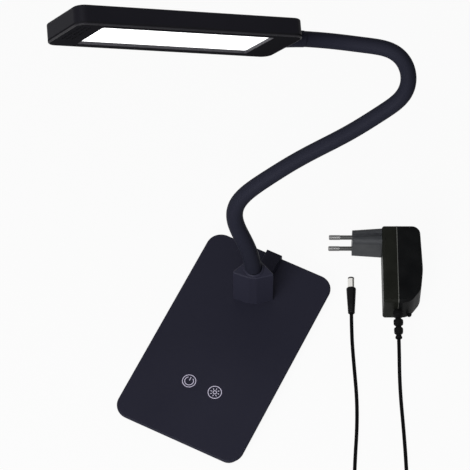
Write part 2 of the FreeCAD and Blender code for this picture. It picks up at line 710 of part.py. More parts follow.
def span_core(points, core_points, radius, share):
    """Round bar along a span's line, kept between the core's two ends."""
    bar = tube(points, radius, share)[0]
    for end, kept, neighbour in ((points[0], core_points[0], points[1]),
                                 (points[-1], core_points[-1], points[-2])):
        inwards = (neighbour - end).normalize()
        reach = (kept - end).Length
        if reach > 1e-6:
            stub = Part.makeCylinder(radius * 2, reach, end, inwards)
            bar = bar.cut(stub)
    return bar


# ------------------------------------------------------------------ the head
def head_housing():
    """Top shell with four screw bosses, and the underside frame with the light opening and vents."""
    shell = new_body("head_shell")
    low = "frame_thickness - head_height / 2"
    middle = ("head_length / 2", "0")
    outline = rectangle("0", "head_length", "-head_width / 2", "head_width / 2")
    pad(shell, polygons(shell, [outline], low), "head_height - frame_thickness")
    cavity = rectangle("head_wall", "head_length - head_wall",
                       "head_wall - head_width / 2", "head_width / 2 - head_wall")
    pocket(shell, polygons(shell, [cavity], "head_height / 2 - head_wall"), "head_height")
    dress(shell, "Fillet", upright_at(outline), Radius="head_corner")
    dress(shell, "Fillet", upright_at(cavity), Radius="head_corner - head_wall")
    dress(shell, "Fillet", level_at("head_height / 2"), Radius="head_round")
    screws = head_screw_places()
    pad(shell, circles(shell, [(across, along, "screw_head") for across, along in screws], SPREADER_TOP),
        f"head_height / 2 - head_wall / 2 - ({SPREADER_TOP})")
    pocket(shell, circles(shell, [(across, along, "screw_radius - 0.2") for across, along in screws],
                          "head_height / 2 - head_wall"), "head_height")
    pocket(shell, circles(shell, [("0", "0", "spigot_radius + seat_gap")], "head_wall + 0.5", "YZ_Plane"),
           "head_wall + 1")
    subpart("head_shell", shell, HEAD)

    frame = new_body("head_frame")
    plate(frame, "head_length", "head_width", "frame_thickness", "head_corner", "-head_height / 2", middle)
    dress(frame, "Chamfer", level_at("-head_height / 2"), Size="frame_bevel")
    window = rectangle("window_end", "head_length - window_end",
                       f"-{WINDOW_WIDTH} / 2", f"{WINDOW_WIDTH} / 2")
    pocket(frame, polygons(frame, [window], low), "frame_thickness")

    def window_corner(edge):
        middle_of_edge = edge.CenterOfMass
        at_end = abs(middle_of_edge.x - number("head_length / 2")) < number(f"{WINDOW_LENGTH} / 2") + 0.01
        return upright(edge) and at_end and abs(middle_of_edge.y) < number(f"{WINDOW_WIDTH} / 2") + 0.01
    dress(frame, "Fillet", window_corner, Radius="window_corner")
    slots = []
    for column in (-1, 0, 1):
        for vent_row in (-1, 0, 1):
            across = f"head_length - vent_end + {column} * vent_pitch"
            along = f"vent_side + {vent_row} * vent_row_pitch"
            slots.append(rectangle(f"{across} - vent_width / 2", f"{across} + vent_width / 2",
                                   f"{along} - vent_length / 2", f"{along} + vent_length / 2"))
    pocket(frame, polygons(frame, slots, low), "frame_thickness")
    subpart("head_frame", frame, HEAD)


def head_screw_places():
    """Where the heat spreader is screwed up: outside the light guide, near each corner."""
    offset = f"({WINDOW_LENGTH} / 2 + panel_lap + spreader_overhang / 2)"
    return [(f"head_length / 2 + {end} * {offset}", f"{side} * {WINDOW_WIDTH} * 0.36")
            for end in (-1, 1) for side in (-1, 1)]


PANEL_LENGTH = f"({WINDOW_LENGTH} + 2 * panel_lap)"
PANEL_WIDTH = f"({WINDOW_WIDTH} + 2 * panel_lap)"
DIFFUSER_LOW = "(frame_thickness - head_height / 2)"
GUIDE_LOW = f"({DIFFUSER_LOW} + diffuser_thickness)"
REFLECTOR_LOW = f"({GUIDE_LOW} + guide_thickness)"
SPREADER_LOW = f"({REFLECTOR_LOW} + reflector_thickness)"
SPREADER_TOP = f"({SPREADER_LOW} + spreader_thickness)"


def head_layers():
    """Diffuser, light guide, reflector, heat spreader, light strip and their screws."""
    middle = ("head_length / 2", "0")
    layers = [("diffuser_panel", DIFFUSER_LOW, "diffuser_thickness", "0"),
              ("light_guide", GUIDE_LOW, "guide_thickness", "0"),
              ("reflector_sheet", REFLECTOR_LOW, "reflector_thickness", "0"),
              ("heat_spreader", SPREADER_LOW, "spreader_thickness", "spreader_overhang")]
    for label, low, thickness, overhang in layers:
        body = new_body(label)
        plate(body, f"{PANEL_LENGTH} + 2 * {overhang}", PANEL_WIDTH, thickness, "1", low, middle)
        if label == "heat_spreader":
            holes = [(across, along, "screw_radius + seat_gap") for across, along in head_screw_places()]
            pocket(body, circles(body, holes, SPREADER_TOP), "spreader_thickness")
        subpart(label, body, HEAD)

    strip_side = f"({PANEL_WIDTH} / 2 + led_depth)"
    strip = box("LedStrip", (f"(head_length - {PANEL_LENGTH}) / 2", strip_side, GUIDE_LOW),
                (PANEL_LENGTH, "1", "guide_thickness"))
    subpart("led_strip", strip, HEAD)
    count = int(number(f"{PANEL_LENGTH} / led_pitch"))
    emitters = []
    for index in range(count):
        along = f"head_length / 2 + ({index} - {(count - 1) / 2}) * led_pitch - led_size / 2"
        corner = (along, f"{PANEL_WIDTH} / 2", f"{GUIDE_LOW} + (guide_thickness - led_size) / 2")
        emitters.append(box("Emitter", corner, ("led_size", "led_depth", "led_size")))
    subpart("led_emitters", group("Emitters", emitters), HEAD)

    screws = []
    for across, along in head_screw_places():
        start = (across, along, f"{SPREADER_LOW} - screw_head_height")
        screws.append(screw(start, "screw_head - 0.4", "spreader_thickness + 3.2"))
    subpart("spreader_screws", group("SpreaderScrews", screws), HEAD)


def head_neck_end():
    """Upper ferrule, the plate that holds it in the shell's end wall, and the boot over the sleeve."""
    ferrule = new_body("head_ferrule")
    groove, spigot, spigot_end = "head_wall + seat_gap", "core_bore - seat_gap / 2", "-1 - spigot_length"
    groove_end = "head_wall + holder_thickness + 5 * seat_gap"
    revolve(ferrule, [(spigot_end, "ferrule_bore"), ("head_wall + spigot_reach", "ferrule_bore"),
                      ("head_wall + spigot_reach", "spigot_radius"), (groove_end, "spigot_radius"),
                      (groove_end, "spigot_radius - spigot_groove"),
                      (groove, "spigot_radius - spigot_groove"), (groove, "spigot_radius"),
                      ("0", "spigot_radius"), ("0", "core_radius"), ("-1", "core_radius"),
                      ("-1", spigot), (spigot_end, spigot)])
    subpart("head_ferrule", ferrule, HEAD)

    plate_low = f"{DIFFUSER_LOW} + seat_gap"
    holder = box("RetainingPlate", ("head_wall + 2 * seat_gap", "-holder_width / 2", plate_low),
                 ("holder_thickness", "holder_width",
                  f"head_height / 2 - head_wall - seat_gap - ({plate_low})"))
    half_mouth = "(spigot_radius - spigot_groove + 0.05)"
    hole = cylinder("RetainingHole", ("head_wall", "0", "0"), "X", half_mouth, "2 * holder_thickness")
    mouth = box("RetainingMouth", ("head_wall", f"-{half_mouth}", "-head_height"),
                ("2 * holder_thickness", f"2 * {half_mouth}", "head_height"))
    subpart("retaining_plate", cut("Retainer", holder, hole, mouth), HEAD)

    boot = new_body("head_boot")
    bore_radius = "neck_radius + seat_gap / 2"
    thin = f"{bore_radius} + boot_lip"
    revolve(boot, [("-boot_length", bore_radius), ("0", bore_radius), ("0", "head_height / 2"),
                   ("-boot_length / 2", f"{thin} + 0.06"), ("-boot_length", thin)])
    subpart("head_boot", boot, HEAD)


# ------------------------------------------------------------------ the power supply on the floor
def supply_case():
    """Front and back shells, parted across the depth, both hollow; the back one is rounded all over."""
    parting, far = "(supply_left + supply_parting)", "(supply_near + supply_length)"
    back = "(supply_left + supply_depth)"

    def outline(inset):
        """Back shell in plan: a soft heel at the cord's end and a bulge behind the middle."""
        near, top, side = f"(supply_near + {inset})", f"({far} - {inset})", f"({back} - {inset})"
        return [(parting, near), (f"{side} - heel_depth + {inset} / 2", near),
                (f"{side} - heel_side", f"{near} + heel_length - {inset} * 2 / 3"),
                (side, f"{near} + bulge_place - {inset}"), (f"{side} - bulge", top), (parting, top)]

    def shell(label, corners, roundings, height, low):
        body = new_body(label)
        pad(body, polygons(body, [corners], low), height)
        for (across, along), rounding in zip(corners, roundings):
            if rounding:
                place = (number(across), number(along))

                def here(edge):
                    middle = edge.CenterOfMass
                    return upright(edge) and math.hypot(middle.x - place[0], middle.y - place[1]) < 0.01
                dress(body, "Fillet", here, Radius=rounding)
        return body

    straight = number(parting)
    front_corners = [("supply_left", "supply_near"), (parting, "supply_near"), (parting, far),
                     ("supply_left", far)]
    shapes = {
        "supply_front_shell": (shell("FrontOutside", front_corners, ("front_round", "", "", "front_round"),
                                     "supply_width", "0"),
                               box("FrontHollow", ("supply_left + supply_wall", "supply_near + supply_wall",
                                                   "supply_wall"),
                                   ("supply_parting", "supply_length - 2 * supply_wall",
                                    "supply_width - 2 * supply_wall"))),
        "supply_back_shell": (shell("BackOutside", outline("0"),
                                    ("", "heel_round", "heel_round + 2", "60", "supply_round", ""),
                                    "supply_width", "0"),
                              shell("BackHollow", outline("supply_wall"),
                                    ("", "heel_round - supply_wall", "heel_round", "58",
                                     "supply_round - supply_wall", ""),
                                    "supply_width - 2 * supply_wall", "supply_wall"))}
    for label, (outside, hollow) in shapes.items():
        def rim(edge):
            span = edge.BoundBox
            on_parting = abs(span.XMin - straight) < 0.01 and abs(span.XMax - straight) < 0.01
            return (level_at("0")(edge) or level_at("supply_width")(edge)) and not on_parting
        dress(outside, "Fillet", rim, Radius="supply_rim")
        cord_hole = cylinder("CordHole", (parting, "supply_near - 1", "supply_width / 2"), "Y",
                             "cord_radius + 1.05", "supply_wall + 2")
        subpart(label, cut(label + "_cut", outside, hollow, cord_hole), SUPPLY)


def supply_plug():
    """Tapered collar, two mains pins and their insulating sleeves."""
    axis = "supply_near + collar_place"
    collar = doc.addObject("Part::Wedge", "Collar")
    bind(collar, Xmin="-collar_span / 2", Xmax="collar_span / 2", Ymin="0", Ymax="collar_length",
         Zmin="-collar_across / 2", Zmax="collar_across / 2",
         X2min="-collar_span / 2 + 1", X2max="collar_span / 2 - 1",
         Z2min="-collar_nose / 2", Z2max="collar_nose / 2")
    place = FreeCAD.Placement(point("supply_left", axis, "supply_width / 2"),
                              FreeCAD.Rotation(Vector(0, 0, 1), Vector(-1, 0, 0), Vector(), "XYZ"))
    collar.Placement = place
    doc.recompute()
    rounded = doc.addObject("Part::Fillet", "CollarRounded")
    rounded.Base = collar
    lengthways = [index for index, edge in enumerate(collar.Shape.Edges, start=1)
                  if edge.BoundBox.XLength > number("collar_length") * 0.9]
    corner = number("collar_corner")
    rounded.Edges = [(index, corner, corner) for index in lengthways]
    nose = "supply_left - collar_length"
    holes, pins, sleeves = [], [], []
    for side in (-1, 1):
        height = f"supply_width / 2 + {side} * pin_spacing / 2"
        hole_start, tip_start = (f"{nose} - 1", axis, height), (f"{nose} - pin_length", axis, height)
        sleeve_start = (f"{nose} - pin_sleeve", axis, height)
        bore_start = (f"{nose} - pin_sleeve - 1", axis, height)
        holes.append(cylinder("PinHole", hole_start, "X", "sleeve_radius + seat_gap / 2", "pin_root + 2"))
        pin = doc.addObject("Part::Fuse", "Pin")
        pin.Base = cylinder("PinTip", tip_start, "X", "pin_radius", "pin_length - pin_sleeve")
        pin.Tool = cylinder("PinNeck", sleeve_start, "X", "pin_neck", "pin_sleeve + pin_root")
        doc.recompute()
        blunt = doc.addObject("Part::Fillet", "PinRounded")
        blunt.Base = pin
        tip_place, rounding = number(f"{nose} - pin_length"), number("pin_round")
        blunt.Edges = [(index, rounding, rounding) for index, edge in enumerate(pin.Shape.Edges, start=1)
                       if abs(edge.BoundBox.XMax - tip_place) < 0.01]
        pins.append(blunt)
        skin = cylinder("PinSkin", sleeve_start, "X", "sleeve_radius", "pin_sleeve + pin_root - 1")
        inside = cylinder("PinSkinInside", bore_start, "X", "pin_neck + 0.02", "pin_sleeve + pin_root + 1")
        sleeves.append(cut("PinSleeve", skin, inside))
    grooves = []
    for low in ("supply_width / 2 + collar_span / 2 - 1 - groove_depth",
                "supply_width / 2 - collar_span / 2 + 1 + groove_depth - collar_groove"):
        start = (f"{nose} - 1", f"{axis} - collar_groove / 2", low)
        grooves.append(box("CollarGroove", start, ("collar_length + 1", "collar_groove", "collar_groove")))
    subpart("plug_collar", cut("PlugCollar", rounded, *holes, *grooves), SUPPLY)
    subpart("mains_pins", group("MainsPins", pins), SUPPLY)
    subpart("pin_sleeves", group("PinSleeves", sleeves), SUPPLY)


def supply_insides():
    """Circuit board against the front shell, transformer and capacitors on it."""
    left = "supply_left + supply_wall + seat_gap"
    near = "supply_near + supply_wall + board_inset"
    low = "supply_wall + seat_gap"
    middle = "supply_width / 2"
    parts = f"{left} + board_thickness"
    board_length = "(supply_length - 2 * supply_wall - 2 * board_inset)"
    board_width = "supply_width - 2 * supply_wall - 2 * seat_gap"
    board = box("SupplyBoard", (left, near, low), ("board_thickness", board_length, board_width))
    subpart("supply_board", board, SUPPLY)
    core_near = f"{near} + ({board_length} - transformer_length) / 2"
    core = box("Transformer", (parts, core_near, f"{middle} - transformer_height / 2"),
               ("transformer_depth", "transformer_length", "transformer_height"))
    subpart("supply_transformer", core, SUPPLY)
    cans = [cylinder("Capacitor", (parts, place, middle), "X", "can_radius", "can_length")
            for place in (f"{near} + can_inset", f"{near} + {board_length} - can_inset")]
    subpart("supply_capacitors", group("Capacitors", cans), SUPPLY)


def supply_cord():
    """Beaded strain relief, the cord's two runs, the coil between them, its tie and the power plug."""
    relief = new_body("strain_relief")
    inner, outer, waist = "cord_radius", "relief_radius", "cord_radius + 0.9"
    flange_back, flange_front = "-supply_wall - 2", "-supply_wall - 0.1"
    profile = [(flange_back, inner), (flange_back, f"{outer} * 0.9"), (flange_front, f"{outer} * 0.9"),
               (flange_front, "cord_radius + 1"), ("1.2", "cord_radius + 1"), ("1.6", outer),
               ("5.8", f"{outer} * 0.97"), ("6.4", waist), ("8.8", waist), ("9.2", f"{outer} * 0.93"),
               ("13.2", f"{outer} * 0.9"), ("13.8", waist), ("16.2", waist), ("16.6", f"{outer} * 0.88"),
               ("21", f"{outer} * 0.84"), ("21.5", "cord_radius + 0.7"), ("23.8", "cord_radius + 0.7"),
               ("24.1", f"{outer} * 0.68"), ("25.5", f"{outer} * 0.66"),
               ("relief_length", "cord_radius + 0.35"), ("relief_length", inner)]
    revolve(relief, profile)
    out = FreeCAD.Placement(point("supply_left + supply_parting", "supply_near", "supply_width / 2"),
                            FreeCAD.Rotation(Vector(0, 0, 1), -90))
    subpart("strain_relief", relief, SUPPLY.multiply(out))

    radius = number("cord_radius")
    start = point("supply_left + supply_parting", "supply_near + supply_wall", "supply_width / 2")
    clamp = point("supply_left + supply_parting", "supply_near - relief_length + 4", "supply_width / 2")
    plug_end = PLUG.multVec(Vector(0.5, 0, 0))
    plug_approach = PLUG.multVec(point("-plug_straight", "0", "0"))
    supply_places = [start, clamp] + [Vector(*place) for place in SUPPLY_ROUTE]
    supply_points = [SUPPLY.multVec(place) for place in supply_places]
    plug_points = [SUPPLY.multVec(Vector(*place)) for place in PLUG_ROUTE] + [plug_approach, plug_end]
    for label, points in (("cord_run_supply", supply_points), ("cord_run_plug", plug_points)):
        solid, radii = tube(points, radius)
        made(label, solid)
        length = bent_wire(points)[0].Length
        print(label, "length %.0f" % length, "radii", [round(value, 1) for value in radii])

    coil = new_body("cord_coil")
    low = "tie_thickness"
    near, far = "coil_radius - coil_width / 2", "coil_radius + coil_width / 2"
    top = f"{low} + coil_height"
    soft = "1.2"
    revolve(coil, [(low, f"{near} + {soft}"), (f"{low} + {soft}", near), (f"{top} - {soft}", near),
                   (top, f"{near} + {soft}"), (top, f"{far} - {soft}"), (f"{top} - {soft}", far),
                   (f"{low} + {soft}", far), (low, f"{far} - {soft}")])
    stand = FreeCAD.Placement(point("coil_across", "coil_near", "0"), FreeCAD.Rotation(Vector(0, 1, 0), -90))
    subpart("cord_coil", coil, SUPPLY.multiply(stand))
    room = "2 * seat_gap"
    inside_near = "coil_near - coil_radius - coil_width / 2"
    band = box("Tie", ("coil_across - tie_width / 2", f"{inside_near} - tie_thickness", "0"),
               ("tie_width", f"coil_width + {room} + 2 * tie_thickness", "coil_height + 2 * tie_thickness"))
    hole = box("TieHole", ("coil_across - tie_width", inside_near, "tie_thickness"),
               ("2 * tie_width", f"coil_width + {room}", "coil_height"))
    subpart("coil_tie", cut("CoilTie", band, hole), SUPPLY)


def power_plug():
    """Handle, metal barrel and the insulating ring in its tip; X runs from the cord to the tip."""
    handle = new_body("plug_handle")
    root, tip = "handle_length - barrel_root", "handle_length + barrel_length"
    step = "barrel_radius - barrel_step"
    revolve(handle, [("0", "cord_radius"), ("0", "handle_tail - 0.3"), ("0.6", "handle_tail"),
                     ("handle_length - 0.6", "handle_radius"), ("handle_length", "handle_radius - 0.6"),
                     ("handle_length", step), (root, step), (root, "cord_radius")])
    subpart("plug_handle", handle, PLUG)
    barrel = new_body("plug_barrel")
    inside = "barrel_radius - barrel_wall"
    revolve(barrel, [(root, inside), (root, step), ("handle_length", step),
                     ("handle_length", "barrel_radius"), (f"{tip} - tip_length", "barrel_radius"),
                     (f"{tip} - tip_length", inside)])
    subpart("plug_barrel", barrel, PLUG)
    liner = new_body("plug_insulator")
    bore = "jack_pin + 0.1"
    ring, ring_radius = f"{tip} - tip_length", "barrel_radius - 0.2"
    revolve(liner, [(root, bore), (root, f"{inside} - 0.02"), (ring, f"{inside} - 0.02"),
                    (ring, ring_radius), (tip, ring_radius), (tip, bore)])
    subpart("plug_insulator", liner, PLUG)


# ------------------------------------------------------------------ build, check and write
for build in (plate_cover, plate_pan, plate_insides, power_inlet, neck_socket, neck_spans, head_housing,
              head_layers, head_neck_end, supply_case, supply_plug, supply_insides, supply_cord, power_plug):
    build()
doc.recompute()

for item in doc.Objects:
    if "Invalid" in item.State or "Error" in item.State:
        raise RuntimeError(f"{item.Label} failed: {item.State}")
for label, item in subparts.items():
    if item.Shape.isNull() or not item.Shape.isValid() or not item.Shape.Solids:
        raise RuntimeError(f"{label} has no valid solid")

os.makedirs("parts", exist_ok=True)
for label, item in subparts.items():
    item.Shape.exportStep(os.path.join("parts", label + ".step"))
print(len(subparts), "sub-parts written")
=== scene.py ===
"""Dressed model of a touch-controlled LED desk lamp with its plug-in power supply.

All lengths are metres in the row frame: +Z up, +Y towards the plate's back edge, origin under the
plate's middle.  Three local frames are used: the lamp head's (X from the neck into the head, Z out of
its top), the supply's (turned on the floor) and the power plug's (X from the cord to the barrel's tip).
"""
import logging
import math
from dataclasses import dataclass, field
from enum import Enum
from typing import Sequence

import bpy
import numpy as np
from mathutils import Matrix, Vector


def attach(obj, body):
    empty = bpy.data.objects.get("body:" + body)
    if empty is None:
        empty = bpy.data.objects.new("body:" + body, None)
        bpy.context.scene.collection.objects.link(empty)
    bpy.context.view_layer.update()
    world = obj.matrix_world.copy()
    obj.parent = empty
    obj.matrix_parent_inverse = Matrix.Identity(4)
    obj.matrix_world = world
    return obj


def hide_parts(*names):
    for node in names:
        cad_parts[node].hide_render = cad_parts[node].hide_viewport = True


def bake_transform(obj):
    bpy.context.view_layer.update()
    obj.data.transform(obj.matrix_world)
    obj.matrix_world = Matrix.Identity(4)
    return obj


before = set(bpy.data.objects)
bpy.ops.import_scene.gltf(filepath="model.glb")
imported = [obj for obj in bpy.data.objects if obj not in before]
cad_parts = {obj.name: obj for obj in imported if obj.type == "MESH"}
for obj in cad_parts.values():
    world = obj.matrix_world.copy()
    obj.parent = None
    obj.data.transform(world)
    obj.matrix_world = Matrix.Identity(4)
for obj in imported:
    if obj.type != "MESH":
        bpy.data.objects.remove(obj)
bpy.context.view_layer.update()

MM = 0.001
LOG = logging.getLogger("desk_lamp")
Array = np.ndarray


# ---------------------------------------------------------------- surfaces
class Ends(Enum):
    """What closes the first and last row of a grid."""

    CAPPED = "capped"
    JOINED = "joined"


def unit(rows: Array) -> Array:
    """Each vector divided by its own length."""
    return rows / np.linalg.norm(rows, axis=-1, keepdims=True)


def skin(name: str, grid: Array, ends: Ends = Ends.CAPPED, flat: bool = False,
         normals: Array | None = None) -> bpy.types.Object:
    """Make a closed mesh from a grid of points whose columns go once round the piece.

    Row i and column j give the quad (i, j), (i, j+1), (i+1, j+1), (i+1, j).  Capped ends get one pole
    point each, at the mean of the end row; joined ends meet each other.

    Args:
        name: name of the object and of its mesh.
        grid: points as an array of rows x columns x 3, columns counter-clockwise about the row's way.
        ends: how the first and the last row are closed.
        flat: True for flat shading all over.
        normals: outward normals of the grid's points, where the piece goes on in a neighbour.

    Returns:
        The new object, at the origin and linked to the scene.
    """
    rows, columns = grid.shape[:2]
    last = rows if ends is Ends.JOINED else rows - 1
    i, j = np.meshgrid(np.arange(last), np.arange(columns), indexing="ij")
    following, beside = (i + 1) % rows, (j + 1) % columns
    quads = np.stack([i * columns + j, i * columns + beside, following * columns + beside,
                      following * columns + j], axis=-1).reshape(-1, 4)
    points = grid.reshape(-1, 3)
    faces: list[list[int]] = quads.tolist()
    smooth = np.ones(len(quads), dtype=bool)
    if ends is Ends.CAPPED:
        points = np.vstack([points, grid[0].mean(axis=0), grid[-1].mean(axis=0)])
        column, beside = np.arange(columns), (np.arange(columns) + 1) % columns
        foot, top = np.full(columns, rows * columns), np.full(columns, rows * columns + 1)
        start = (rows - 1) * columns
        caps = np.vstack([np.stack([foot, beside, column], axis=1),
                          np.stack([top, start + column, start + beside], axis=1)])
        faces += caps.tolist()
        smooth = np.concatenate([smooth, np.zeros(len(caps), dtype=bool)])
    mesh = bpy.data.meshes.new(name)
    mesh.from_pydata(points.tolist(), [], faces)
    mesh.polygons.foreach_set("use_smooth", smooth & (not flat))
    mesh.update()
    if normals is not None:
        ways = np.vstack([normals.reshape(-1, 3), np.zeros((len(points) - rows * columns, 3))])
        mesh.normals_split_custom_set_from_vertices(ways.tolist())
    piece = bpy.data.objects.new(name, mesh)
    bpy.context.scene.collection.objects.link(piece)
    return piece


def swept(line: Array, tangents: Array, radii: Array, lean: Sequence[float], around: int) -> Array:
    """Circles of given radii standing square to a line.

    The circle at a point is point + radius * (cos a * n + sin a * b), where n is the unit cross product of
    the tangent and the leaning vector, and b the cross product of the tangent and n.

    Args:
        line: points along the line, n x 3.
        tangents: unit tangents there, n x 3.
        radii: one radius for each point.
        lean: a vector that is nowhere along the line's way.
        around: number of columns.

    Returns:
        A grid for skin().
    """
    first = unit(np.cross(tangents, np.asarray(lean, dtype=float)))
    second = np.cross(tangents, first)
    angle = np.linspace(0, 2 * np.pi, around, endpoint=False)
    ring = np.cos(angle)[None, :, None] * first[:, None] + np.sin(angle)[None, :, None] * second[:, None]
    return line[:, None] + radii[:, None, None] * ring


def averaged(rows: Array, weights: Array) -> Array:
    """Weighted running mean of a line, which is mirrored through its end points beyond both ends.

    Args:
        rows: points along the line, n x 3.
        weights: an odd number of weights that sum to 1.

    Returns:
        As many points as there are rows; straight ends and the end points keep their places.
    """
    reach = len(weights) // 2
    before = 2 * rows[0] - rows[reach:0:-1]
    after = 2 * rows[-1] - rows[-2:-reach - 2:-1]
    padded = np.vstack([before, rows, after])
    return np.stack([np.convolve(column, weights, mode="valid") for column in padded.T], axis=1)


@dataclass(frozen=True)
class Place:
    """A local frame: origin and three unit axes in the row frame."""

    origin: Array
    x: Array
    y: Array
    z: Array

    def put(self, local: Array) -> Array:
        """Local points in the row frame: origin + x * first + y * second + z * third."""
        return self.origin + local @ np.stack([self.x, self.y, self.z])

    def lathe(self, profile: Array, around: int, squash: Array | None = None) -> Array:
        """Profile (along X, radius) turned once about the local X axis.

        Args:
            profile: pairs of place along X and radius, n x 2.
            around: number of columns.
            squash: radius factors along Y and Z for each row, n x 2; None for a round piece.

        Returns:
            A grid for skin().
        """
        angle = np.linspace(0, 2 * np.pi, around, endpoint=False)
        shape = np.ones_like(profile) if squash is None else squash
        along = np.repeat(profile[:, :1], around, axis=1)
        side = profile[:, 1:] * shape[:, :1] * np.cos(angle)
        up = profile[:, 1:] * shape[:, 1:] * np.sin(angle)
        return self.put(np.stack([along, side, up], axis=-1))


def upright_place(origin: Sequence[float], turn: float) -> Place:
    """A frame standing on the floor, turned about +Z by an angle in degrees."""
    a = math.radians(turn)
    return Place(np.array(origin, dtype=float), np.array([math.cos(a), math.sin(a), 0.0]),
                 np.array([-math.sin(a), math.cos(a), 0.0]), np.array([0.0, 0.0, 1.0]))


def rounded_rectangle(length: float, width: float, corner: float, per_corner: int = 8) -> tuple[Array, Array]:
    """Outline of a rectangle with round corners, counter-clockwise, and its outward normals.

    Each quarter is its corner's centre + corner * (cos a, sin a); the straight sides join the quarters.

    Args:
        length: size along the first axis.
        width: size along the second axis.
        corner: corner radius.
        per_corner: points in each quarter circle.

    Returns:
        Points and normals, each n x 2.
    """
    quarter = np.linspace(0, np.pi / 2, per_corner)
    angle = (quarter[None] + np.pi / 2 * np.arange(4)[:, None]).ravel()
    sign = np.repeat(np.array([[1, 1], [-1, 1], [-1, -1], [1, -1]], dtype=float), per_corner, axis=0)
    centre = sign * (np.array([length, width]) / 2 - corner)
    normal = np.stack([np.cos(angle), np.sin(angle)], axis=1)
    return centre + corner * normal, normal


def hoop(outline: Array, normals: Array, section: Array) -> Array:
    """A section carried round a closed outline.

    Args:
        outline: points of the outline, n x 2.
        normals: outward normals, n x 2.
        section: pairs (outward offset, height), m x 2, clockwise as seen with outwards to the right.

    Returns:
        Local points, n x m x 3, for a joined skin().
    """
    flat = outline[:, None] + normals[:, None] * section[None, :, :1]
    height = np.broadcast_to(section[None, :, 1:], flat.shape[:2] + (1,))
    return np.concatenate([flat, height], axis=-1)


def strip(line: Array, half_width: float, low: float, high: float, closed: bool = False) -> Array:
    """A flat bar of rectangular section along a line in the plane.

    Args:
        line: points in the plane, n x 2, or a closed ring of them.
        half_width: half the bar's width.
        low: height of its underside.
        high: height of its top.
        closed: True where the last point is followed by the first.

    Returns:
        Local points, n x 4 x 3, for skin().
    """
    ahead = np.roll(line, -1, axis=0) - np.roll(line, 1, axis=0) if closed else np.gradient(line, axis=0)
    way = unit(ahead)
    left = np.stack([-way[:, 1], way[:, 0]], axis=1)
    section = np.array([[half_width, low], [-half_width, low], [-half_width, high], [half_width, high]])
    return hoop(line, left, section[::-1])


# ---------------------------------------------------------------- finishes
@dataclass(frozen=True)
class Finish:
    """One finish: two shades of a colour mottled into each other, and a fine grain in the surface.

    Colours are linear.  The mottling is a coarse noise between the two shades; the grain is a fine noise
    that drives the bump and, by a little, the roughness.
    """

    name: str
    colour: tuple[float, float, float]
    shade: tuple[float, float, float]
    roughness: float = 0.5
    spread: float = 0.06
    mottle_size: float = 0.03
    grain_size: float = 0.0006
    grain_depth: float = 0.00002
    metallic: float = 0.0
    specular: float = 0.5
    glow: float = 0.0
    mottle_edges: tuple[float, float] = (0.32, 0.68)
    bump_strength: float = 0.6
    brushed: tuple[float, float, float] = (1.0, 1.0, 1.0)

    def material(self) -> bpy.types.Material:
        """The finish as a node material, made once and then reused."""
        made = bpy.data.materials.get(self.name)
        return made if made is not None else self._build()

    def _build(self) -> bpy.types.Material:
        """Build the nodes.

        Returns:
            The new material, with every pattern on Object coordinates.
        """
        material = bpy.data.materials.new(self.name)
        material.use_nodes = True
        nodes, links = material.node_tree.nodes, material.node_tree.links
        nodes.clear()
        output = nodes.new("ShaderNodeOutputMaterial")
        shader = nodes.new("ShaderNodeBsdfPrincipled")
        links.new(shader.outputs["BSDF"], output.inputs["Surface"])
        shader.inputs["Metallic"].default_value = self.metallic
        shader.inputs["Specular IOR Level"].default_value = self.specular
        place = nodes.new("ShaderNodeTexCoord")
        stretch = nodes.new("ShaderNodeMapping")
        stretch.inputs["Scale"].default_value = self.brushed
        links.new(place.outputs["Object"], stretch.inputs["Vector"])

        coarse = nodes.new("ShaderNodeTexNoise")
        coarse.inputs["Scale"].default_value = 1.0 / self.mottle_size
        coarse.inputs["Detail"].default_value = 3.0
        links.new(stretch.outputs["Vector"], coarse.inputs["Vector"])
        ramp = nodes.new("ShaderNodeValToRGB")
        ramp.color_ramp.elements[0].position = self.mottle_edges[0]
        ramp.color_ramp.elements[1].position = self.mottle_edges[1]
        ramp.color_ramp.elements[0].color = (*self.colour, 1.0)
        ramp.color_ramp.elements[1].color = (*self.shade, 1.0)
        links.new(coarse.outputs["Fac"], ramp.inputs["Fac"])
        links.new(ramp.outputs["Color"], shader.inputs["Base Color"])

        fine = nodes.new("ShaderNodeTexNoise")
        fine.inputs["Scale"].default_value = 1.0 / self.grain_size
        fine.inputs["Detail"].default_value = 2.0
        links.new(stretch.outputs["Vector"], fine.inputs["Vector"])
        rough = nodes.new("ShaderNodeMapRange")
        rough.inputs["To Min"].default_value = max(self.roughness - self.spread, 0.02)
        rough.inputs["To Max"].default_value = min(self.roughness + self.spread, 1.0)
        links.new(fine.outputs["Fac"], rough.inputs["Value"])
        links.new(rough.outputs["Result"], shader.inputs["Roughness"])
        bump = nodes.new("ShaderNodeBump")
        bump.inputs["Strength"].default_value = self.bump_strength
        bump.inputs["Distance"].default_value = self.grain_depth
        links.new(fine.outputs["Fac"], bump.inputs["Height"])
        links.new(bump.outputs["Normal"], shader.inputs["Normal"])
        if self.glow:
            links.new(ramp.outputs["Color"], shader.inputs["Emission Color"])
            shader.inputs["Emission Strength"].default_value = self.glow
        return material

    def dress(self, *items: bpy.types.Object) -> None:
        """Put this finish on every material slot of the given objects."""
        for item in items:
            if not item.material_slots:
                item.data.materials.append(self.material())
            for slot in item.material_slots:
                slot.material = self.material()


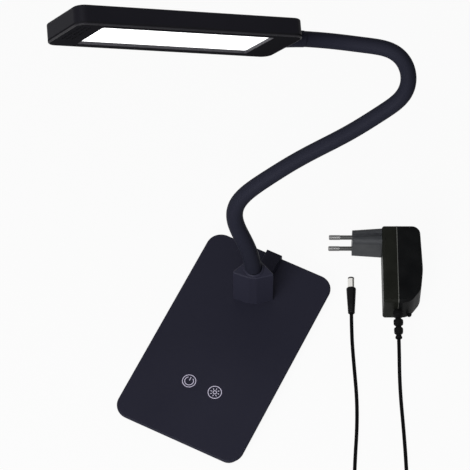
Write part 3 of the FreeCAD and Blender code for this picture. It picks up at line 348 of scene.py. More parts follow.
class Finishes:
    """The lamp's finishes, by what they are on."""

    PLATE = Finish("satin_plate_black", (0.0122, 0.0122, 0.0204), (0.0140, 0.0140, 0.0230), roughness=0.48,
                   specular=0.05, grain_size=0.0005, grain_depth=0.000012, mottle_size=0.08)
    SOCKET = Finish("socket_block_black", (0.0180, 0.0180, 0.0295), (0.0200, 0.0200, 0.0325), roughness=0.46,
                    specular=0.05, grain_size=0.0005, grain_depth=0.000012)
    SLEEVE = Finish("silicone_sleeve_black", (0.0136, 0.0142, 0.0222), (0.0154, 0.0160, 0.0248),
                    roughness=0.44, specular=0.01, grain_size=0.0004, grain_depth=0.000008,
                    mottle_size=0.05)
    HEAD = Finish("matt_head_black", (0.0055, 0.0053, 0.0078), (0.0066, 0.0064, 0.0092), roughness=0.5,
                  specular=0.05, grain_size=0.0005, grain_depth=0.000014, mottle_size=0.06)
    HEAD_FRAME = Finish("head_frame_black", (0.0095, 0.0094, 0.0112), (0.0110, 0.0109, 0.0128), roughness=0.5,
                        specular=0.0, grain_size=0.0005, grain_depth=0.000014, mottle_size=0.06)
    # The lighter grey of the underside band is a painted highlight along the bevel's edge.
    HEAD_RIDGE_HIGHLIGHT = Finish("head_ridge_painted_highlight", (0.0125, 0.0120, 0.0145), (0.0150, 0.0145, 0.0172), roughness=0.4,
                        specular=0.1)
    WINDOW_RIM = Finish("window_rim_grey", (0.022, 0.021, 0.025), (0.028, 0.027, 0.032), roughness=0.4,
                        specular=0.2)
    DIFFUSER = Finish("lit_diffuser_white", (0.95, 0.95, 0.96), (0.97, 0.97, 0.97), roughness=0.45, glow=1.05,
                      grain_size=0.0012)
    KEY_PRINT = Finish("key_print_grey", (0.42, 0.39, 0.50), (0.47, 0.44, 0.55), roughness=0.5)
    PAD = Finish("rubber_pad_black", (0.010, 0.010, 0.011), (0.014, 0.014, 0.015), roughness=0.8,
                 specular=0.3, grain_size=0.0012, grain_depth=0.00008)
    PAN = Finish("bottom_pan_black", (0.007, 0.007, 0.009), (0.009, 0.009, 0.011), roughness=0.6,
                 specular=0.3)
    SUPPLY = Finish("supply_front_grey", (0.0080, 0.0085, 0.0070), (0.0120, 0.0126, 0.0105), roughness=0.36,
                    specular=0.02, grain_size=0.0007, grain_depth=0.00003, mottle_size=0.012)
    SUPPLY_BACK = Finish("supply_back_black", (0.0030, 0.0032, 0.0036), (0.0060, 0.0063, 0.0066),
                         roughness=0.40, specular=0.02, grain_size=0.0007, grain_depth=0.00003,
                         mottle_size=0.014)
    COLLAR = Finish("supply_collar_grey", (0.031, 0.033, 0.037), (0.042, 0.044, 0.048), roughness=0.4,
                    specular=0.10, mottle_size=0.010)
    # The light grey of the seam band is a painted highlight along the shells' parting.
    SUPPLY_SEAM_HIGHLIGHT = Finish("supply_seam_painted_highlight", (0.055, 0.056, 0.052), (0.085, 0.086, 0.080), roughness=0.4)
    RELIEF = Finish("relief_rubber_black", (0.0030, 0.0030, 0.0033), (0.0050, 0.0050, 0.0053), roughness=0.5,
                    specular=0.03, mottle_size=0.004)
    CORD = Finish("cord_sheath_black", (0.0022, 0.0022, 0.0025), (0.0034, 0.0034, 0.0038), roughness=0.48,
                  specular=0.02, mottle_size=0.01)
    PLUG_GRIP = Finish("plug_grip_black", (0.0024, 0.0024, 0.0028), (0.0042, 0.0042, 0.0048), roughness=0.36,
                       specular=0.08, mottle_size=0.006)
    INSULATOR = Finish("insulator_black", (0.006, 0.006, 0.006), (0.010, 0.010, 0.010), roughness=0.4)
    NICKEL = Finish("nickel_plating", (0.70, 0.69, 0.66), (0.78, 0.77, 0.75), roughness=0.2, metallic=1.0,
                    grain_size=0.0004, grain_depth=0.000004)
    # Nickel darkened to 0.10 against the plating's 0.70: painted shade standing in for the pins' dark
    # reflections.
    PIN_PAINTED_DARK = Finish("mains_pin_nickel_painted_dark", (0.10, 0.10, 0.10), (0.16, 0.16, 0.16), roughness=0.25, metallic=1.0,
                 grain_size=0.0004, grain_depth=0.000004)
    STEEL = Finish("turned_steel", (0.40, 0.40, 0.42), (0.50, 0.50, 0.52), roughness=0.34, metallic=1.0,
                   grain_size=0.0004, brushed=(1.0, 1.0, 9.0))
    ALUMINIUM = Finish("sheet_aluminium", (0.66, 0.66, 0.68), (0.74, 0.74, 0.75), roughness=0.36,
                       metallic=1.0, brushed=(6.0, 1.0, 1.0))
    GUIDE = Finish("light_guide_acrylic", (0.80, 0.83, 0.85), (0.88, 0.90, 0.91), roughness=0.12)
    REFLECTOR = Finish("reflector_film_white", (0.86, 0.86, 0.87), (0.92, 0.92, 0.92), roughness=0.28)
    BOARD = Finish("board_green", (0.010, 0.085, 0.032), (0.018, 0.130, 0.050), roughness=0.35,
                   mottle_size=0.006)
    EMITTER = Finish("emitter_phosphor", (0.85, 0.66, 0.12), (0.95, 0.80, 0.22), roughness=0.4, glow=0.6)
    WINDING = Finish("winding_tape_amber", (0.45, 0.26, 0.03), (0.60, 0.38, 0.06), roughness=0.4)
    BENCH = Finish("bench_white", (0.40, 0.40, 0.40), (0.40, 0.40, 0.40), roughness=0.9)


def node(name: str) -> bpy.types.Object:
    """The CAD node of that name."""
    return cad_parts[name]


def dress_nodes(finish: Finish, *names: str) -> None:
    """Give CAD nodes a finish."""
    finish.dress(*[node(name) for name in names])


def settle(piece: bpy.types.Object, finish: Finish, body: str,
           replaced: Sequence[str] = ()) -> None:
    """Finish a new piece and tie it to a body and the CAD nodes it stands for.

    Args:
        piece: the new piece.
        finish: its finish.
        body: the CAD body it moves with.
        replaced: CAD nodes that it stands for.
    """
    finish.dress(piece)
    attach(piece, body)
    if replaced:
        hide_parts(*replaced)
    LOG.info("%s rides on %s", piece.name, body)


# ---------------------------------------------------------------- the gooseneck
NECK_FOOT = np.array([0.0, 52.0, 45.0]) * MM
NECK_ROUTE = NECK_FOOT + MM * np.array([(0, 0, 0), (0, 0, 28), (-25, 5.4, 82.5), (9.4, 42.2, 118.3),
                                        (50.3, 74.7, 149.8), (80.9, 107.2, 178.4), (60.8, 132, 189.3),
                                        (9, 118, 186), (-19.9, 93.9, 203.7)])


@dataclass(frozen=True)
class Gooseneck:
    """Silicone sleeve over the steel tube: eight lengths, each reaching across one hinge place."""

    radius: float = 6.1 * MM
    swell: float = 0.72 * MM
    swell_length: float = 105 * MM
    bend_half: float = 8 * MM
    bends: tuple[float, ...] = (0.9, 0.56, 0.9, 0.9, 0.9, 0.9, 0.9)
    steps: int = 32
    ease: int = 20
    around: int = 44
    lean: tuple[float, float, float] = (0.30, -0.72, 0.62)
    sags: tuple[tuple[int, tuple[float, float, float]], ...] = (
        (1, (-1.7 * MM, 0.3 * MM, -1.5 * MM)),
        (5, (-0.8 * MM, 0.5 * MM, 0.4 * MM)),
        (6, (-0.2 * MM, -0.9 * MM, -0.4 * MM)))

    def hinges(self) -> Array:
        """Hinge places: the middles of the route's runs, 8 x 3."""
        return (NECK_ROUTE[:-1] + NECK_ROUTE[1:]) / 2

    def span(self, start: Array, corner: Array, end: Array, share: float) -> Array:
        """Evenly spaced points of one span: a run, an arc that touches both runs, and a run.

        The arc takes the share of the shorter run on either side of the corner, so its radius is that
        length divided by tan(turn / 2).

        Args:
            start: first point.
            corner: where the two runs would meet.
            end: last point.
            share: share of the shorter run that the arc takes.

        Returns:
            Points, steps x 3; the end itself is left to the next span.
        """
        before, after = np.linalg.norm(corner - start), np.linalg.norm(end - corner)
        first, last = (corner - start) / before, (end - corner) / after
        trim = share * min(before, after)
        turn = math.acos(float(first @ last))
        radius = trim / math.tan(turn / 2)
        side = unit(last - first * math.cos(turn))
        centre = corner - first * trim + side * radius
        length = before + after - 2 * trim + radius * turn
        way = np.linspace(0.0, length, self.steps, endpoint=False)[:, None]
        past = way - before + trim
        angle = np.clip(past / radius, 0.0, turn)
        tangents = np.cos(angle) * first + np.sin(angle) * side
        ahead = np.minimum(past, 0.0) + np.maximum(past - radius * turn, 0.0)
        return centre + radius * (np.sin(angle) * first - np.cos(angle) * side) + ahead * tangents

    def eased(self, points: Array) -> Array:
        """Even out where runs meet arcs: the soft sleeve bends more gradually than the tube's route.

        A raised-cosine average A over 2 * ease + 1 points is applied as 2 A(p) - A(A(p)), which keeps the
        bends in their places.
        """
        weights = np.hanning(2 * self.ease + 3)[1:-1]
        weights = weights / weights.sum()
        once = averaged(points, weights)
        return 2 * once - averaged(once, weights)

    def line(self) -> tuple[Array, Array]:
        """Centre line through all nine spans, of which the first and the last are nearly straight.

        The soft sleeve's corners lie off the tube's own by sags, at the first bend and the two upper ones.

        Returns:
            Points and unit tangents, each (9 * steps + 1) x 3.
        """
        route = NECK_ROUTE.copy()
        for corner, sag in self.sags:
            route[corner] += sag
        hinges = (route[:-1] + route[1:]) / 2
        share = np.arange(self.steps)[:, None] / self.steps
        spans = [route[0] + share * (hinges[0] - route[0])]
        for start, corner, end, bend in zip(hinges, route[1:-1], hinges[1:], self.bends):
            spans.append(self.span(start, corner, end, bend))
        spans += [hinges[-1] + share * (route[-1] - hinges[-1]), route[-1:]]
        points = self.eased(np.vstack(spans))
        return points, unit(np.gradient(points, axis=0))

    def radii(self, points: Array) -> Array:
        """Sleeve radius: constant, plus a swell of swell * exp(-(s / swell_length)^3) from the foot.

        Args:
            points: points of the centre line, s being the length along it.

        Returns:
            One radius for each point.
        """
        steps = np.linalg.norm(np.diff(points, axis=0), axis=1)
        s = np.concatenate([[0.0], np.cumsum(steps)])
        return self.radius + self.swell * np.exp(-(s / self.swell_length) ** 3)

    def build(self) -> None:
        """Make the eight lengths of sleeve and dress the steel tube inside."""
        points, ways = self.line()
        grid = swept(points, ways, self.radii(points), self.lean, self.around)
        outwards = unit(grid - points[:, None])
        hinges = self.hinges()
        count = len(hinges)
        half = self.steps // 2
        for number in range(1, count + 1):
            first = 0 if number == 1 else (number - 1) * self.steps + half
            last = (count + 1) * self.steps if number == count else number * self.steps + half
            rows = slice(first, last + 1)
            piece = skin(f"sleeve_length_{number}", grid[rows], normals=outwards[rows])
            Finishes.SLEEVE.dress(piece)
            replaced = [f"neck_sleeve_{number}"] + (["neck_sleeve_0", "foot_boot"] if number == 1 else [])
            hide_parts(*replaced)
            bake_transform(piece)
        dress_nodes(Finishes.STEEL, *[f"neck_core_{number}" for number in range(count + 1)])


# ---------------------------------------------------------------- the head
def head_place() -> Place:
    """Frame of the head: X along the neck's last run, turned about it by the head's roll."""
    roll = math.radians(70.1)
    forward = unit(NECK_ROUTE[-1] - NECK_ROUTE[-2])
    side = unit(np.cross([0.0, 0.0, 1.0], forward))
    up = np.cross(forward, side)
    return Place(NECK_ROUTE[-1], forward, math.cos(roll) * side + math.sin(roll) * up,
                 -math.sin(roll) * side + math.cos(roll) * up)


@dataclass(frozen=True)
class LampHead:
    """Flat head: shell, underside frame with the lit window, and the boot over the neck's end."""

    length: float = 187.5 * MM
    height: float = 15 * MM
    width: float = 59 * MM
    corner: float = 8 * MM
    bevel: float = 0.8 * MM
    frame_thickness: float = 2.5 * MM
    window: tuple[float, float] = (141.9 * MM, 45.2 * MM)
    window_corner: float = 2 * MM
    rim_width: float = 0.35 * MM
    rim_recess: float = 0.25 * MM
    boot_length: float = 15 * MM
    boot_side: float = 8.6 * MM
    boot_height: float = 7.2 * MM
    boot_powers: tuple[float, float] = (1.7, 1.3)
    boot_lip: float = 0.25 * MM
    boot_tuck: float = 0.1 * MM
    sleeve: float = 6.15 * MM
    place: Place = field(default_factory=head_place)

    def window_rim(self) -> Array:
        """Lip round the window: a thin section carried round a rounded rectangle under the panel."""
        outline, normals = rounded_rectangle(*self.window, self.window_corner)
        low = -self.height / 2 + self.rim_recess
        high = -self.height / 2 + self.frame_thickness
        soft = 0.2 * MM
        section = np.array([[-self.rim_width, high], [0.0, high], [0.0, low], [-self.rim_width + soft, low],
                            [-self.rim_width, low + soft]])
        local = hoop(outline, normals, section)
        local[..., 0] += self.length / 2
        return self.place.put(local)

    def ridge(self) -> Array:
        """Painted highlight along the underside's bevel: a thin section carried round the head's outline over
        the bevel.
        """
        outline, normals = rounded_rectangle(self.length, self.width, self.corner)
        low, proud, thick = -self.height / 2, 0.04 * MM, 0.25 * MM
        section = np.array([[proud, low + self.bevel - proud], [-self.bevel + proud, low - proud],
                            [-self.bevel - thick, low - proud], [-self.bevel - thick, low + thick],
                            [-thick, low + self.bevel + thick], [proud, low + self.bevel + thick]])
        local = hoop(outline, normals, section)
        local[..., 0] += self.length / 2
        return self.place.put(local)

    def boot(self) -> Array:
        """Boot: an oval that shrinks from the head's end to the sleeve.

        Half-width and half-height at a share u of the length from the head are
        end + (head - end) * (1 - u)^p, with one power p across and one upwards.
        """
        u = np.linspace(1.0, 0.0, 18)
        end = self.sleeve + self.boot_lip
        across, upwards = self.boot_powers
        side = end + (self.boot_side - end) * (1 - u) ** across
        up = end + (self.boot_height - end) * (1 - u) ** upwards
        along = -u * self.boot_length
        along = np.concatenate([[along[0]], along])
        side = np.concatenate([[self.sleeve - self.boot_tuck], side])
        up = np.concatenate([[self.sleeve - self.boot_tuck], up])
        shape = np.stack([side, up], axis=1)
        return self.place.lathe(np.stack([along, np.ones_like(along)], axis=1), 48, shape)

    def build(self) -> None:
        """Make the new pieces and dress the head's CAD nodes."""
        settle(skin("head_boot_oval", self.boot()), Finishes.SLEEVE, "head", ["head_boot"])
        rim = skin("light_window_rim", self.window_rim(), Ends.JOINED, flat=True)
        settle(rim, Finishes.WINDOW_RIM, "head")
        # The band over the underside's bevel paints the edge's highlight.
        ridge = skin("underside_painted_highlight", self.ridge(), Ends.JOINED, flat=True)
        settle(ridge, Finishes.HEAD_RIDGE_HIGHLIGHT, "head")
        dress_nodes(Finishes.HEAD, "head_shell")
        dress_nodes(Finishes.HEAD_FRAME, "head_frame")
        dress_nodes(Finishes.DIFFUSER, "diffuser_panel")
        dress_nodes(Finishes.GUIDE, "light_guide")
        dress_nodes(Finishes.REFLECTOR, "reflector_sheet")
        dress_nodes(Finishes.ALUMINIUM, "heat_spreader")
        dress_nodes(Finishes.BOARD, "led_strip")
        dress_nodes(Finishes.EMITTER, "led_emitters")
        dress_nodes(Finishes.STEEL, "spreader_screws", "retaining_plate", "head_ferrule")


# ---------------------------------------------------------------- the plate
class KeySymbol(Enum):
    """What a touch key shows inside its ring."""

    POWER = "power"
    DIMMER = "dimmer"


@dataclass(frozen=True)
class TouchKeys:
    """Two round prints on the plate's top: on/off and brightness."""

    spacing: float = 22.8 * MM
    front: float = 41.0 * MM
    plate_top: float = 12.0 * MM
    proud: float = 0.12 * MM
    sunk: float = 0.05 * MM
    ring: float = 5.35 * MM
    line: float = 0.28 * MM
    around: int = 48
    power_share: float = 0.66
    power_angles: tuple[float, float] = (122, 418)
    power_bar: tuple[float, ...] = (0.08, 0.40, 0.72)
    disc_share: float = 0.26
    rays: int = 8
    ray_shares: tuple[float, ...] = (0.46, 0.58, 0.70)

    def arc(self, centre: Array, radius: float, start: float, end: float, count: int) -> Array:
        """Points of an arc, centre + radius * (cos a, sin a), angles in degrees from +X."""
        angle = np.radians(np.linspace(start, end, count))
        return centre + radius * np.stack([np.cos(angle), np.sin(angle)], axis=1)

    def mark(self, name: str, line: Array, closed: bool = False) -> None:
        """One printed line as a thin raised bar."""
        low, high = self.plate_top - self.sunk, self.plate_top + self.proud
        grid = strip(line, self.line, low, high, closed)
        piece = skin(name, grid, Ends.JOINED if closed else Ends.CAPPED, flat=True)
        settle(piece, Finishes.KEY_PRINT, "base")

    def build(self) -> None:
        """Print both keys."""
        full = 360.0 * (self.around - 1) / self.around
        for side, symbol in ((-1, KeySymbol.POWER), (1, KeySymbol.DIMMER)):
            centre = np.array([side * self.spacing / 2, -self.front])
            ring = self.arc(centre, self.ring, 0, full, self.around)
            self.mark(f"key_{symbol.value}_ring", ring, closed=True)
            if symbol is KeySymbol.POWER:
                arc = self.arc(centre, self.ring * self.power_share, *self.power_angles, 32)
                self.mark("key_power_arc", arc)
                bar = centre + np.array([[0.0, share] for share in self.power_bar]) * self.ring
                self.mark("key_power_bar", bar)
            else:
                disc = self.arc(centre, self.ring * self.disc_share, 0, full, self.around)
                self.mark("key_dimmer_disc", disc, closed=True)
                for number in range(self.rays):
                    a = math.radians(360 / self.rays * number)
                    way = np.array([math.cos(a), math.sin(a)])
                    ray = centre + way * self.ring * np.array(self.ray_shares)[:, None]
                    self.mark(f"key_dimmer_ray_{number}", ray)


@dataclass(frozen=True)
class Plate:
    """Weighted plate with its touch keys, power inlet and neck socket."""

    keys: TouchKeys = TouchKeys()

    def build(self) -> None:
        """Print the keys and dress the plate's CAD nodes."""
        self.keys.build()
        dress_nodes(Finishes.PLATE, "base_cover")
        dress_nodes(Finishes.SOCKET, "neck_socket", "socket_collar")
        dress_nodes(Finishes.PAN, "base_pan", "dc_jack")
        dress_nodes(Finishes.PAD, "anti_slip_pad")
        dress_nodes(Finishes.STEEL, "ballast_plate", "base_screws", "neck_nut", "foot_ferrule")
        dress_nodes(Finishes.BOARD, "touch_board")
        dress_nodes(Finishes.NICKEL, "dc_jack_pin", "touch_springs")


# ---------------------------------------------------------------- the power supply
SUPPLY = upright_place((0.0, 0.0, 0.0), 26.2)


@dataclass(frozen=True)
class PowerSupply:
    """Plug-in supply lying on its side, with a painted highlight along its seam, moulding mark, latch nub and
    strain relief.
    """

    left: float = 127.4 * MM
    near: float = 30.4 * MM
    length: float = 70 * MM
    width: float = 30 * MM
    parting: float = 12 * MM
    seam_width: float = 0.5 * MM
    seam_proud: float = 0.12 * MM
    seam_depth: float = 0.3 * MM
    seam_corner: float = 2.3 * MM
    mark_place: tuple[float, float] = (150.5 * MM, 71.0 * MM)
    mark_radius: float = 6.6 * MM
    mark_half: float = 0.35 * MM
    mark_proud: float = 0.1 * MM
    nub_place: tuple[float, float, float] = (148.8 * MM, 30.0 * MM, 7 * MM)
    nub_length: float = 2.4 * MM
    nub_radius: float = 2.0 * MM
    nub_sunk: float = 0.8 * MM
    relief_root: tuple[float, float] = (-1.0 * MM, 2.4 * MM)

    def cord_end(self) -> Array:
        """Where the cord leaves the shell, at the middle of the near end's seam."""
        return SUPPLY.put(np.array([self.left + self.parting, self.near, self.width / 2]))

    def seam(self) -> Array:
        """Painted highlight band round both shells at their parting: a section carried round the shells'
        outline.
        """
        outline, normals = rounded_rectangle(self.length, self.width, self.seam_corner, 6)
        half, inside, proud = self.seam_width / 2, -self.seam_depth, self.seam_proud
        section = np.array([[inside, -half], [proud, -half], [proud, half], [inside, half]])
        local = hoop(outline, normals, section[::-1])
        across, along, depth = local[..., 0], local[..., 1], local[..., 2]
        return SUPPLY.put(np.stack([self.left + self.parting + depth, self.near + self.length / 2 + across,
                                    self.width / 2 + along], axis=-1))

    def moulding_mark(self) -> Array:
        """Plain raised ring in the broad side."""
        angle = np.linspace(0, 2 * np.pi, 64, endpoint=False)
        line = np.array(self.mark_place) + self.mark_radius * np.stack([np.cos(angle), np.sin(angle)], axis=1)
        low, high = self.width - self.mark_proud, self.width + self.mark_proud
        return SUPPLY.put(strip(line, self.mark_half, low, high, closed=True))

    def nub(self) -> Array:
        """Small latch nub on the cord end: an egg-shaped bump, its rows squeezed towards the tip."""
        u = np.linspace(0, np.pi / 2, 8)
        blunt = 0.05 * MM
        profile = np.stack([self.nub_length * np.sin(u), self.nub_radius * np.cos(u) + blunt], axis=1)
        origin = SUPPLY.put(np.array(self.nub_place) + np.array([0, self.nub_sunk, 0]))
        place = Place(origin, -SUPPLY.y, SUPPLY.x, SUPPLY.z)
        return place.lathe(profile, 20)

    def relief(self) -> Array:
        """Beaded strain relief: a profile of three barrel beads and a disc, turned about the cord.

        The profile is drawn by a few corners and rounded by a moving average over its points.
        """
        corners = MM * np.array([
            (0.0, 3.0), (1.0, 2.6), (1.4, 4.0), (2.4, 4.2), (4.8, 4.2), (5.8, 4.0), (6.3, 2.4), (8.8, 2.3),
            (9.2, 3.8), (10.2, 3.95), (12.4, 3.9), (13.2, 3.7), (13.7, 2.3), (16.1, 2.3), (16.5, 3.5),
            (17.5, 3.7), (20.2, 3.6), (21.0, 3.4), (21.4, 2.2), (23.8, 2.2), (24.1, 2.8), (25.4, 2.8),
            (25.8, 2.0), (26.0, 1.9)])
        along = np.linspace(0.0, corners[-1, 0], 131)
        radius = np.interp(along, corners[:, 0], corners[:, 1])
        window = np.ones(3) / 3
        radius[1:-1] = np.convolve(radius, window, mode="valid")
        along = np.concatenate([[self.relief_root[0]], along])
        radius = np.concatenate([[self.relief_root[1]], radius])
        place = Place(self.cord_end(), -SUPPLY.y, SUPPLY.x, SUPPLY.z)
        return place.lathe(np.stack([along, radius], axis=1), 36)

    def build(self) -> bpy.types.Object:
        """Make the supply's small pieces and dress its CAD nodes.

        Returns:
            The strain relief, which goes with the cord.
        """
        # The seam band paints the highlight along the shells' parting.
        seam = skin("supply_seam_highlight_band", self.seam(), Ends.JOINED, flat=True)
        settle(seam, Finishes.SUPPLY_SEAM_HIGHLIGHT, "base")
        mark = skin("supply_mould_ring", self.moulding_mark(), Ends.JOINED, flat=True)
        settle(mark, Finishes.SUPPLY_BACK, "base")
        settle(skin("supply_latch_nub", self.nub()), Finishes.SUPPLY_BACK, "base")
        relief = skin("relief_beads", self.relief())
        settle(relief, Finishes.RELIEF, "base", ["strain_relief"])
        dress_nodes(Finishes.SUPPLY, "supply_front_shell")
        dress_nodes(Finishes.SUPPLY_BACK, "supply_back_shell")
        dress_nodes(Finishes.COLLAR, "plug_collar")
        # The pins get the darkened nickel, a painted dark reflection.
        dress_nodes(Finishes.PIN_PAINTED_DARK, "mains_pins")
        dress_nodes(Finishes.INSULATOR, "pin_sleeves", "supply_capacitors")
        dress_nodes(Finishes.BOARD, "supply_board")
        dress_nodes(Finishes.WINDING, "supply_transformer")
        return relief


# ---------------------------------------------------------------- the cord and its plug
PLUG = upright_place(SUPPLY.put(np.array([102.3, 33.0, 4.0]) * MM), 26.2 + 89.5)


@dataclass(frozen=True)
class PowerPlug:
    """Moulded grip behind the round barrel."""

    length: float = 23 * MM
    front: float = 4.0 * MM
    tail: float = 2.75 * MM
    ring_depth: float = 0.18 * MM
    ring_pitch: float = 0.07
    ring_span: tuple[float, float] = (0.06, 0.34)
    edge_depth: float = 0.5 * MM
    edge_share: float = 0.03

    def grip(self) -> Array:
        """Grip: a cone with rounded ends and four shallow rings near the cord.

        Radius at a share x of the length is tail + (front - tail) * x, less a half sine wave in each ring
        and a quarter of a parabola at each end.
        """
        along = np.linspace(0.0, 1.0, 101)
        radius = self.tail + (self.front - self.tail) * along
        start, stop = self.ring_span
        wave = np.sin((along - start) * 2 * np.pi / self.ring_pitch)
        radius = radius - self.ring_depth * np.clip(wave, 0, 1) * (along > start) * (along < stop)
        edge = self.edge_share
        radius = radius - self.edge_depth * np.clip(1 - along / edge, 0, 1) ** 2
        radius = radius - self.edge_depth * np.clip((along - 1 + edge) / edge, 0, 1) ** 2
        return PLUG.lathe(np.stack([along * self.length, radius], axis=1), 40)

    def build(self) -> list[bpy.types.Object]:
        """Make the grip and dress the barrel.

        Returns:
            The pieces at the cord's far end.
        """
        grip = skin("plug_grip", self.grip())
        settle(grip, Finishes.PLUG_GRIP, "base", ["plug_handle"])
        dress_nodes(Finishes.NICKEL, "plug_barrel")
        dress_nodes(Finishes.INSULATOR, "plug_insulator")
        return [grip, node("plug_barrel"), node("plug_insulator")]


@dataclass(frozen=True)
class Cord:
    """One low-voltage cord from the supply to the power plug, its spare length tied in a round coil."""

    radius: float = 1.5 * MM
    length: float = 1.30
    coil_centre: tuple[float, float] = (122.5 * MM, -145 * MM)
    coil_radius: float = 17.5 * MM
    pitch: float = 3.12 * MM
    coil_low: float = 0.6 * MM
    per_turn: int = 14
    turns: float = 8.5
    change_lead: float = 25.0
    change_half: float = 22.0
    tie_size: tuple[float, float] = (9.9 * MM, 10.0 * MM)
    tie_corner: float = 2.0 * MM
    tie_half: float = 2.0 * MM
    tie_thick: float = 0.5 * MM
    tie_soft: float = 0.2 * MM
    tie_height: float = 5.5 * MM

    def from_supply(self) -> Array:
        """Route from inside the shell through the strain relief and down to the floor."""
        return MM * np.array([(139.4, 32.4, 15), (139.4, 8.4, 15), (139.4, -9, 14.2), (139.6, -25, 6.2),
                              (140.4, -44, 1.55), (141.8, -68, 1.55), (143, -96, 1.55), (143.4, -122, 1.55)])

    def to_plug(self) -> Array:
        """Route from the coil along the floor to the plug."""
        return MM * np.array([(101.7, -122, 1.9), (102.8, -96, 1.55), (105, -68, 1.55), (105.4, -42, 1.55),
                              (103.8, -16, 1.55), (102.5, 6, 2.4)])

    def coil(self) -> Array:
        """Turns of the coil, clockwise from the supply's side to the plug's.

        Each turn stays in one place of the coil's section, (column, layer), and moves over to the next
        place within a short stretch of angle that comes earlier turn by turn, so no two turns meet.

        Returns:
            Control points in the supply's frame.
        """
        section = np.array([(1, 0), (0, 0), (-1, 0), (-1, 1), (-1, 2), (0, 2), (0, 1), (1, 1)], dtype=float)
        changes = np.arange(1, len(section))
        centre = changes * (360.0 - self.change_lead)
        angle = np.arange(0, self.turns * 360.0 + 1e-6, 360.0 / self.per_turn)
        knots = np.stack([centre - self.change_half, centre + self.change_half], axis=1).ravel()
        column = np.interp(angle, knots, np.stack([section[:-1, 0], section[1:, 0]], axis=1).ravel())
        layer = np.interp(angle, knots, np.stack([section[:-1, 1], section[1:, 1]], axis=1).ravel())
        inside = 1 - math.cos(math.pi / self.per_turn)
        radius = (self.coil_radius + column * self.pitch) * (1 + inside)
        height = self.coil_low + self.radius + 0.05 * MM + layer * self.pitch
        turn = np.radians(-angle)
        across, along = self.coil_centre
        return np.stack([across + radius * np.cos(turn), along + radius * np.sin(turn), height], axis=1)

    def build(self, leaves: Array, with_pieces: Sequence[bpy.types.Object]) -> None:
        """Args:
            leaves: where the cord leaves the supply; not used.
            with_pieces: the pieces on the cord besides its tie; not used.
        """
        plug_end = PLUG.put(MM * np.array([(-11.0, 0, 0), (0.5, 0, 0)]))
        floor_route = SUPPLY.put(np.vstack([self.from_supply(), self.coil(), self.to_plug()]))
        route = np.vstack([floor_route, plug_end])
        curve = bpy.data.curves.new("supply_cord", "CURVE")
        curve.dimensions = "3D"
        curve.resolution_u = 6
        curve.bevel_depth = self.radius
        curve.bevel_resolution = 5
        curve.use_fill_caps = True
        spline = curve.splines.new("NURBS")
        spline.points.add(len(route) - 1)
        spline.points.foreach_set("co", np.hstack([route, np.ones((len(route), 1))]).ravel())
        spline.order_u = 3
        spline.use_endpoint_u = True
        cord = bpy.data.objects.new("supply_cord", curve)
        bpy.context.scene.collection.objects.link(cord)
        settle(cord, Finishes.CORD, "base", ["cord_run_supply", "cord_coil", "cord_run_plug"])
        tie = self.tie()

    def tie(self) -> bpy.types.Object:
        """Band round the coil's near side: a thin section carried round a rounded rectangle."""
        outline, normals = rounded_rectangle(*self.tie_size, self.tie_corner, 8)
        half, thick, soft = self.tie_half, self.tie_thick, self.tie_soft
        section = np.array([[0.0, -half], [thick, -half + soft], [thick, half - soft], [0.0, half]])
        local = hoop(outline, normals, section[::-1])
        grid = SUPPLY.put(np.stack([self.coil_centre[0] + local[..., 2],
                                    self.coil_centre[1] - self.coil_radius + local[..., 0],
                                    self.tie_height + local[..., 1]], axis=-1))
        tie = skin("coil_tie_band", grid, Ends.JOINED)
        settle(tie, Finishes.RELIEF, "base", ["coil_tie"])
        return tie


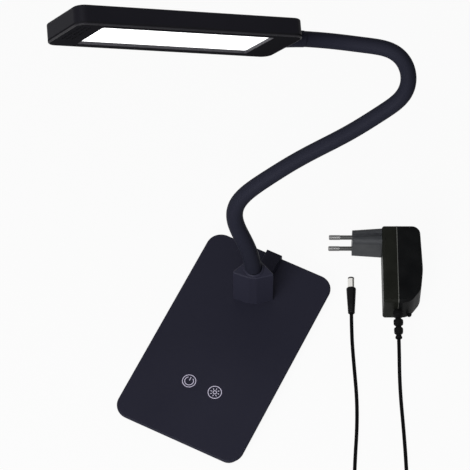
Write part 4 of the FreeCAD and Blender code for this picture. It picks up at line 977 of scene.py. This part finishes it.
# ---------------------------------------------------------------- camera, floor and light
@dataclass(frozen=True)
class Studio:
    """Long lens from above and in front, a white bench and plain soft light."""

    eye: tuple[float, float, float] = (0.4892, -0.9748, 2.1550)
    azimuth: float = 26.22
    elevation: float = 60.92
    lens: float = 229.8
    bench_size: float = 8.0
    bench_drop: float = 0.4 * MM
    bench_white: float = 0.94
    world_light: float = 0.15
    aim: tuple[float, float, float] = (0.0, 0.05, 0.1)

    def camera(self) -> None:
        """Create the camera, looking down along its azimuth and elevation."""
        a, e = math.radians(self.azimuth), math.radians(self.elevation)
        back = Vector((math.sin(a) * math.cos(e), -math.cos(a) * math.cos(e), math.sin(e)))
        data = bpy.data.cameras.new("camera")
        data.lens = self.lens
        data.sensor_width = 36.0
        data.clip_start, data.clip_end = 0.05, 50.0
        camera = bpy.data.objects.new("camera", data)
        camera.rotation_mode = "QUATERNION"
        camera.location = self.eye
        camera.rotation_quaternion = (-back).to_track_quat("-Z", "Y")
        bpy.context.scene.collection.objects.link(camera)
        bpy.context.scene.camera = camera

    def background(self, tree: bpy.types.NodeTree) -> bpy.types.NodeSocket:
        """Light Path sockets joined to one that is 1 for what the eye sees directly, mirrored or through."""
        path = tree.nodes.new("ShaderNodeLightPath")
        joined = path.outputs["Is Camera Ray"]
        for kind in ("Is Glossy Ray", "Is Transmission Ray"):
            either = tree.nodes.new("ShaderNodeMath")
            either.operation = "MAXIMUM"
            tree.links.new(joined, either.inputs[0])
            tree.links.new(path.outputs[kind], either.inputs[1])
            joined = either.outputs[0]
        return joined

    def bench(self) -> None:
        """White bench top that keeps a faint shadow."""
        half = self.bench_size / 2
        mesh = bpy.data.meshes.new("bench_top")
        corners = [(-half, -half, 0), (half, -half, 0), (half, half, 0), (-half, half, 0)]
        mesh.from_pydata(corners, [], [(0, 1, 2, 3)])
        bench = bpy.data.objects.new("bench_top", mesh)
        bench.location.z = -self.bench_drop
        bpy.context.scene.collection.objects.link(bench)
        material = Finishes.BENCH.material()
        tree = material.node_tree
        output = tree.nodes["Material Output"]
        shader = tree.nodes["Principled BSDF"]
        white = tree.nodes.new("ShaderNodeEmission")
        white.inputs["Color"].default_value = (1.0, 1.0, 1.0, 1.0)
        share = tree.nodes.new("ShaderNodeMath")
        share.operation = "MULTIPLY"
        share.inputs[1].default_value = self.bench_white
        mix = tree.nodes.new("ShaderNodeMixShader")
        tree.links.new(self.background(tree), share.inputs[0])
        tree.links.new(share.outputs[0], mix.inputs["Fac"])
        tree.links.new(shader.outputs["BSDF"], mix.inputs[1])
        tree.links.new(white.outputs["Emission"], mix.inputs[2])
        tree.links.new(mix.outputs["Shader"], output.inputs["Surface"])
        mesh.materials.append(material)

    def world(self) -> None:
        """Even white surroundings: full white to the eye, softer as light."""
        world = bpy.data.worlds.new("studio")
        bpy.context.scene.world = world
        world.use_nodes = True
        tree = world.node_tree
        tree.nodes.clear()
        output = tree.nodes.new("ShaderNodeOutputWorld")
        light, white = tree.nodes.new("ShaderNodeBackground"), tree.nodes.new("ShaderNodeBackground")
        light.inputs["Color"].default_value = (1.0, 1.0, 1.0, 1.0)
        light.inputs["Strength"].default_value = self.world_light
        white.inputs["Color"].default_value = (1.0, 1.0, 1.0, 1.0)
        white.inputs["Strength"].default_value = 1.0
        mix = tree.nodes.new("ShaderNodeMixShader")
        tree.links.new(self.background(tree), mix.inputs["Fac"])
        tree.links.new(light.outputs["Background"], mix.inputs[1])
        tree.links.new(white.outputs["Background"], mix.inputs[2])
        tree.links.new(mix.outputs["Shader"], output.inputs["Surface"])

    def lamp(self, name: str, place: Sequence[float], size: float, power: float) -> None:
        """Square soft lamp that faces the middle of the scene.

        Args:
            name: the lamp's name.
            place: where it hangs.
            size: length of its side.
            power: its power in watts.
        """
        data = bpy.data.lights.new(name, "AREA")
        data.shape = "SQUARE"
        data.size = size
        data.energy = power
        lamp = bpy.data.objects.new(name, data)
        lamp.location = place
        towards = Vector(self.aim) - Vector(place)
        lamp.rotation_mode = "QUATERNION"
        lamp.rotation_quaternion = towards.to_track_quat("-Z", "Y")
        bpy.context.scene.collection.objects.link(lamp)

    def build(self) -> None:
        """Set up the camera first, then bench, world and lamps."""
        self.camera()
        self.bench()
        self.world()
        self.lamp("key_light", (0.02, -0.90, 0.68), 0.6, 12.5)
        self.lamp("top_light", (-0.10, -0.60, 2.0), 1.0, 18.0)
        scene = bpy.context.scene
        scene.view_settings.view_transform = "Standard"


def main() -> None:
    """Build the studio, the cord and then the lamp."""
    logging.basicConfig(level=logging.INFO, format="%(name)s: %(message)s")
    Studio().build()
    supply = PowerSupply()
    plug = PowerPlug()
    Cord().build(supply.cord_end(), [supply.build(), *plug.build()])
    Plate().build()
    Gooseneck().build()
    LampHead().build()
    LOG.info("sizes written")


if __name__ == "__main__":
    main()
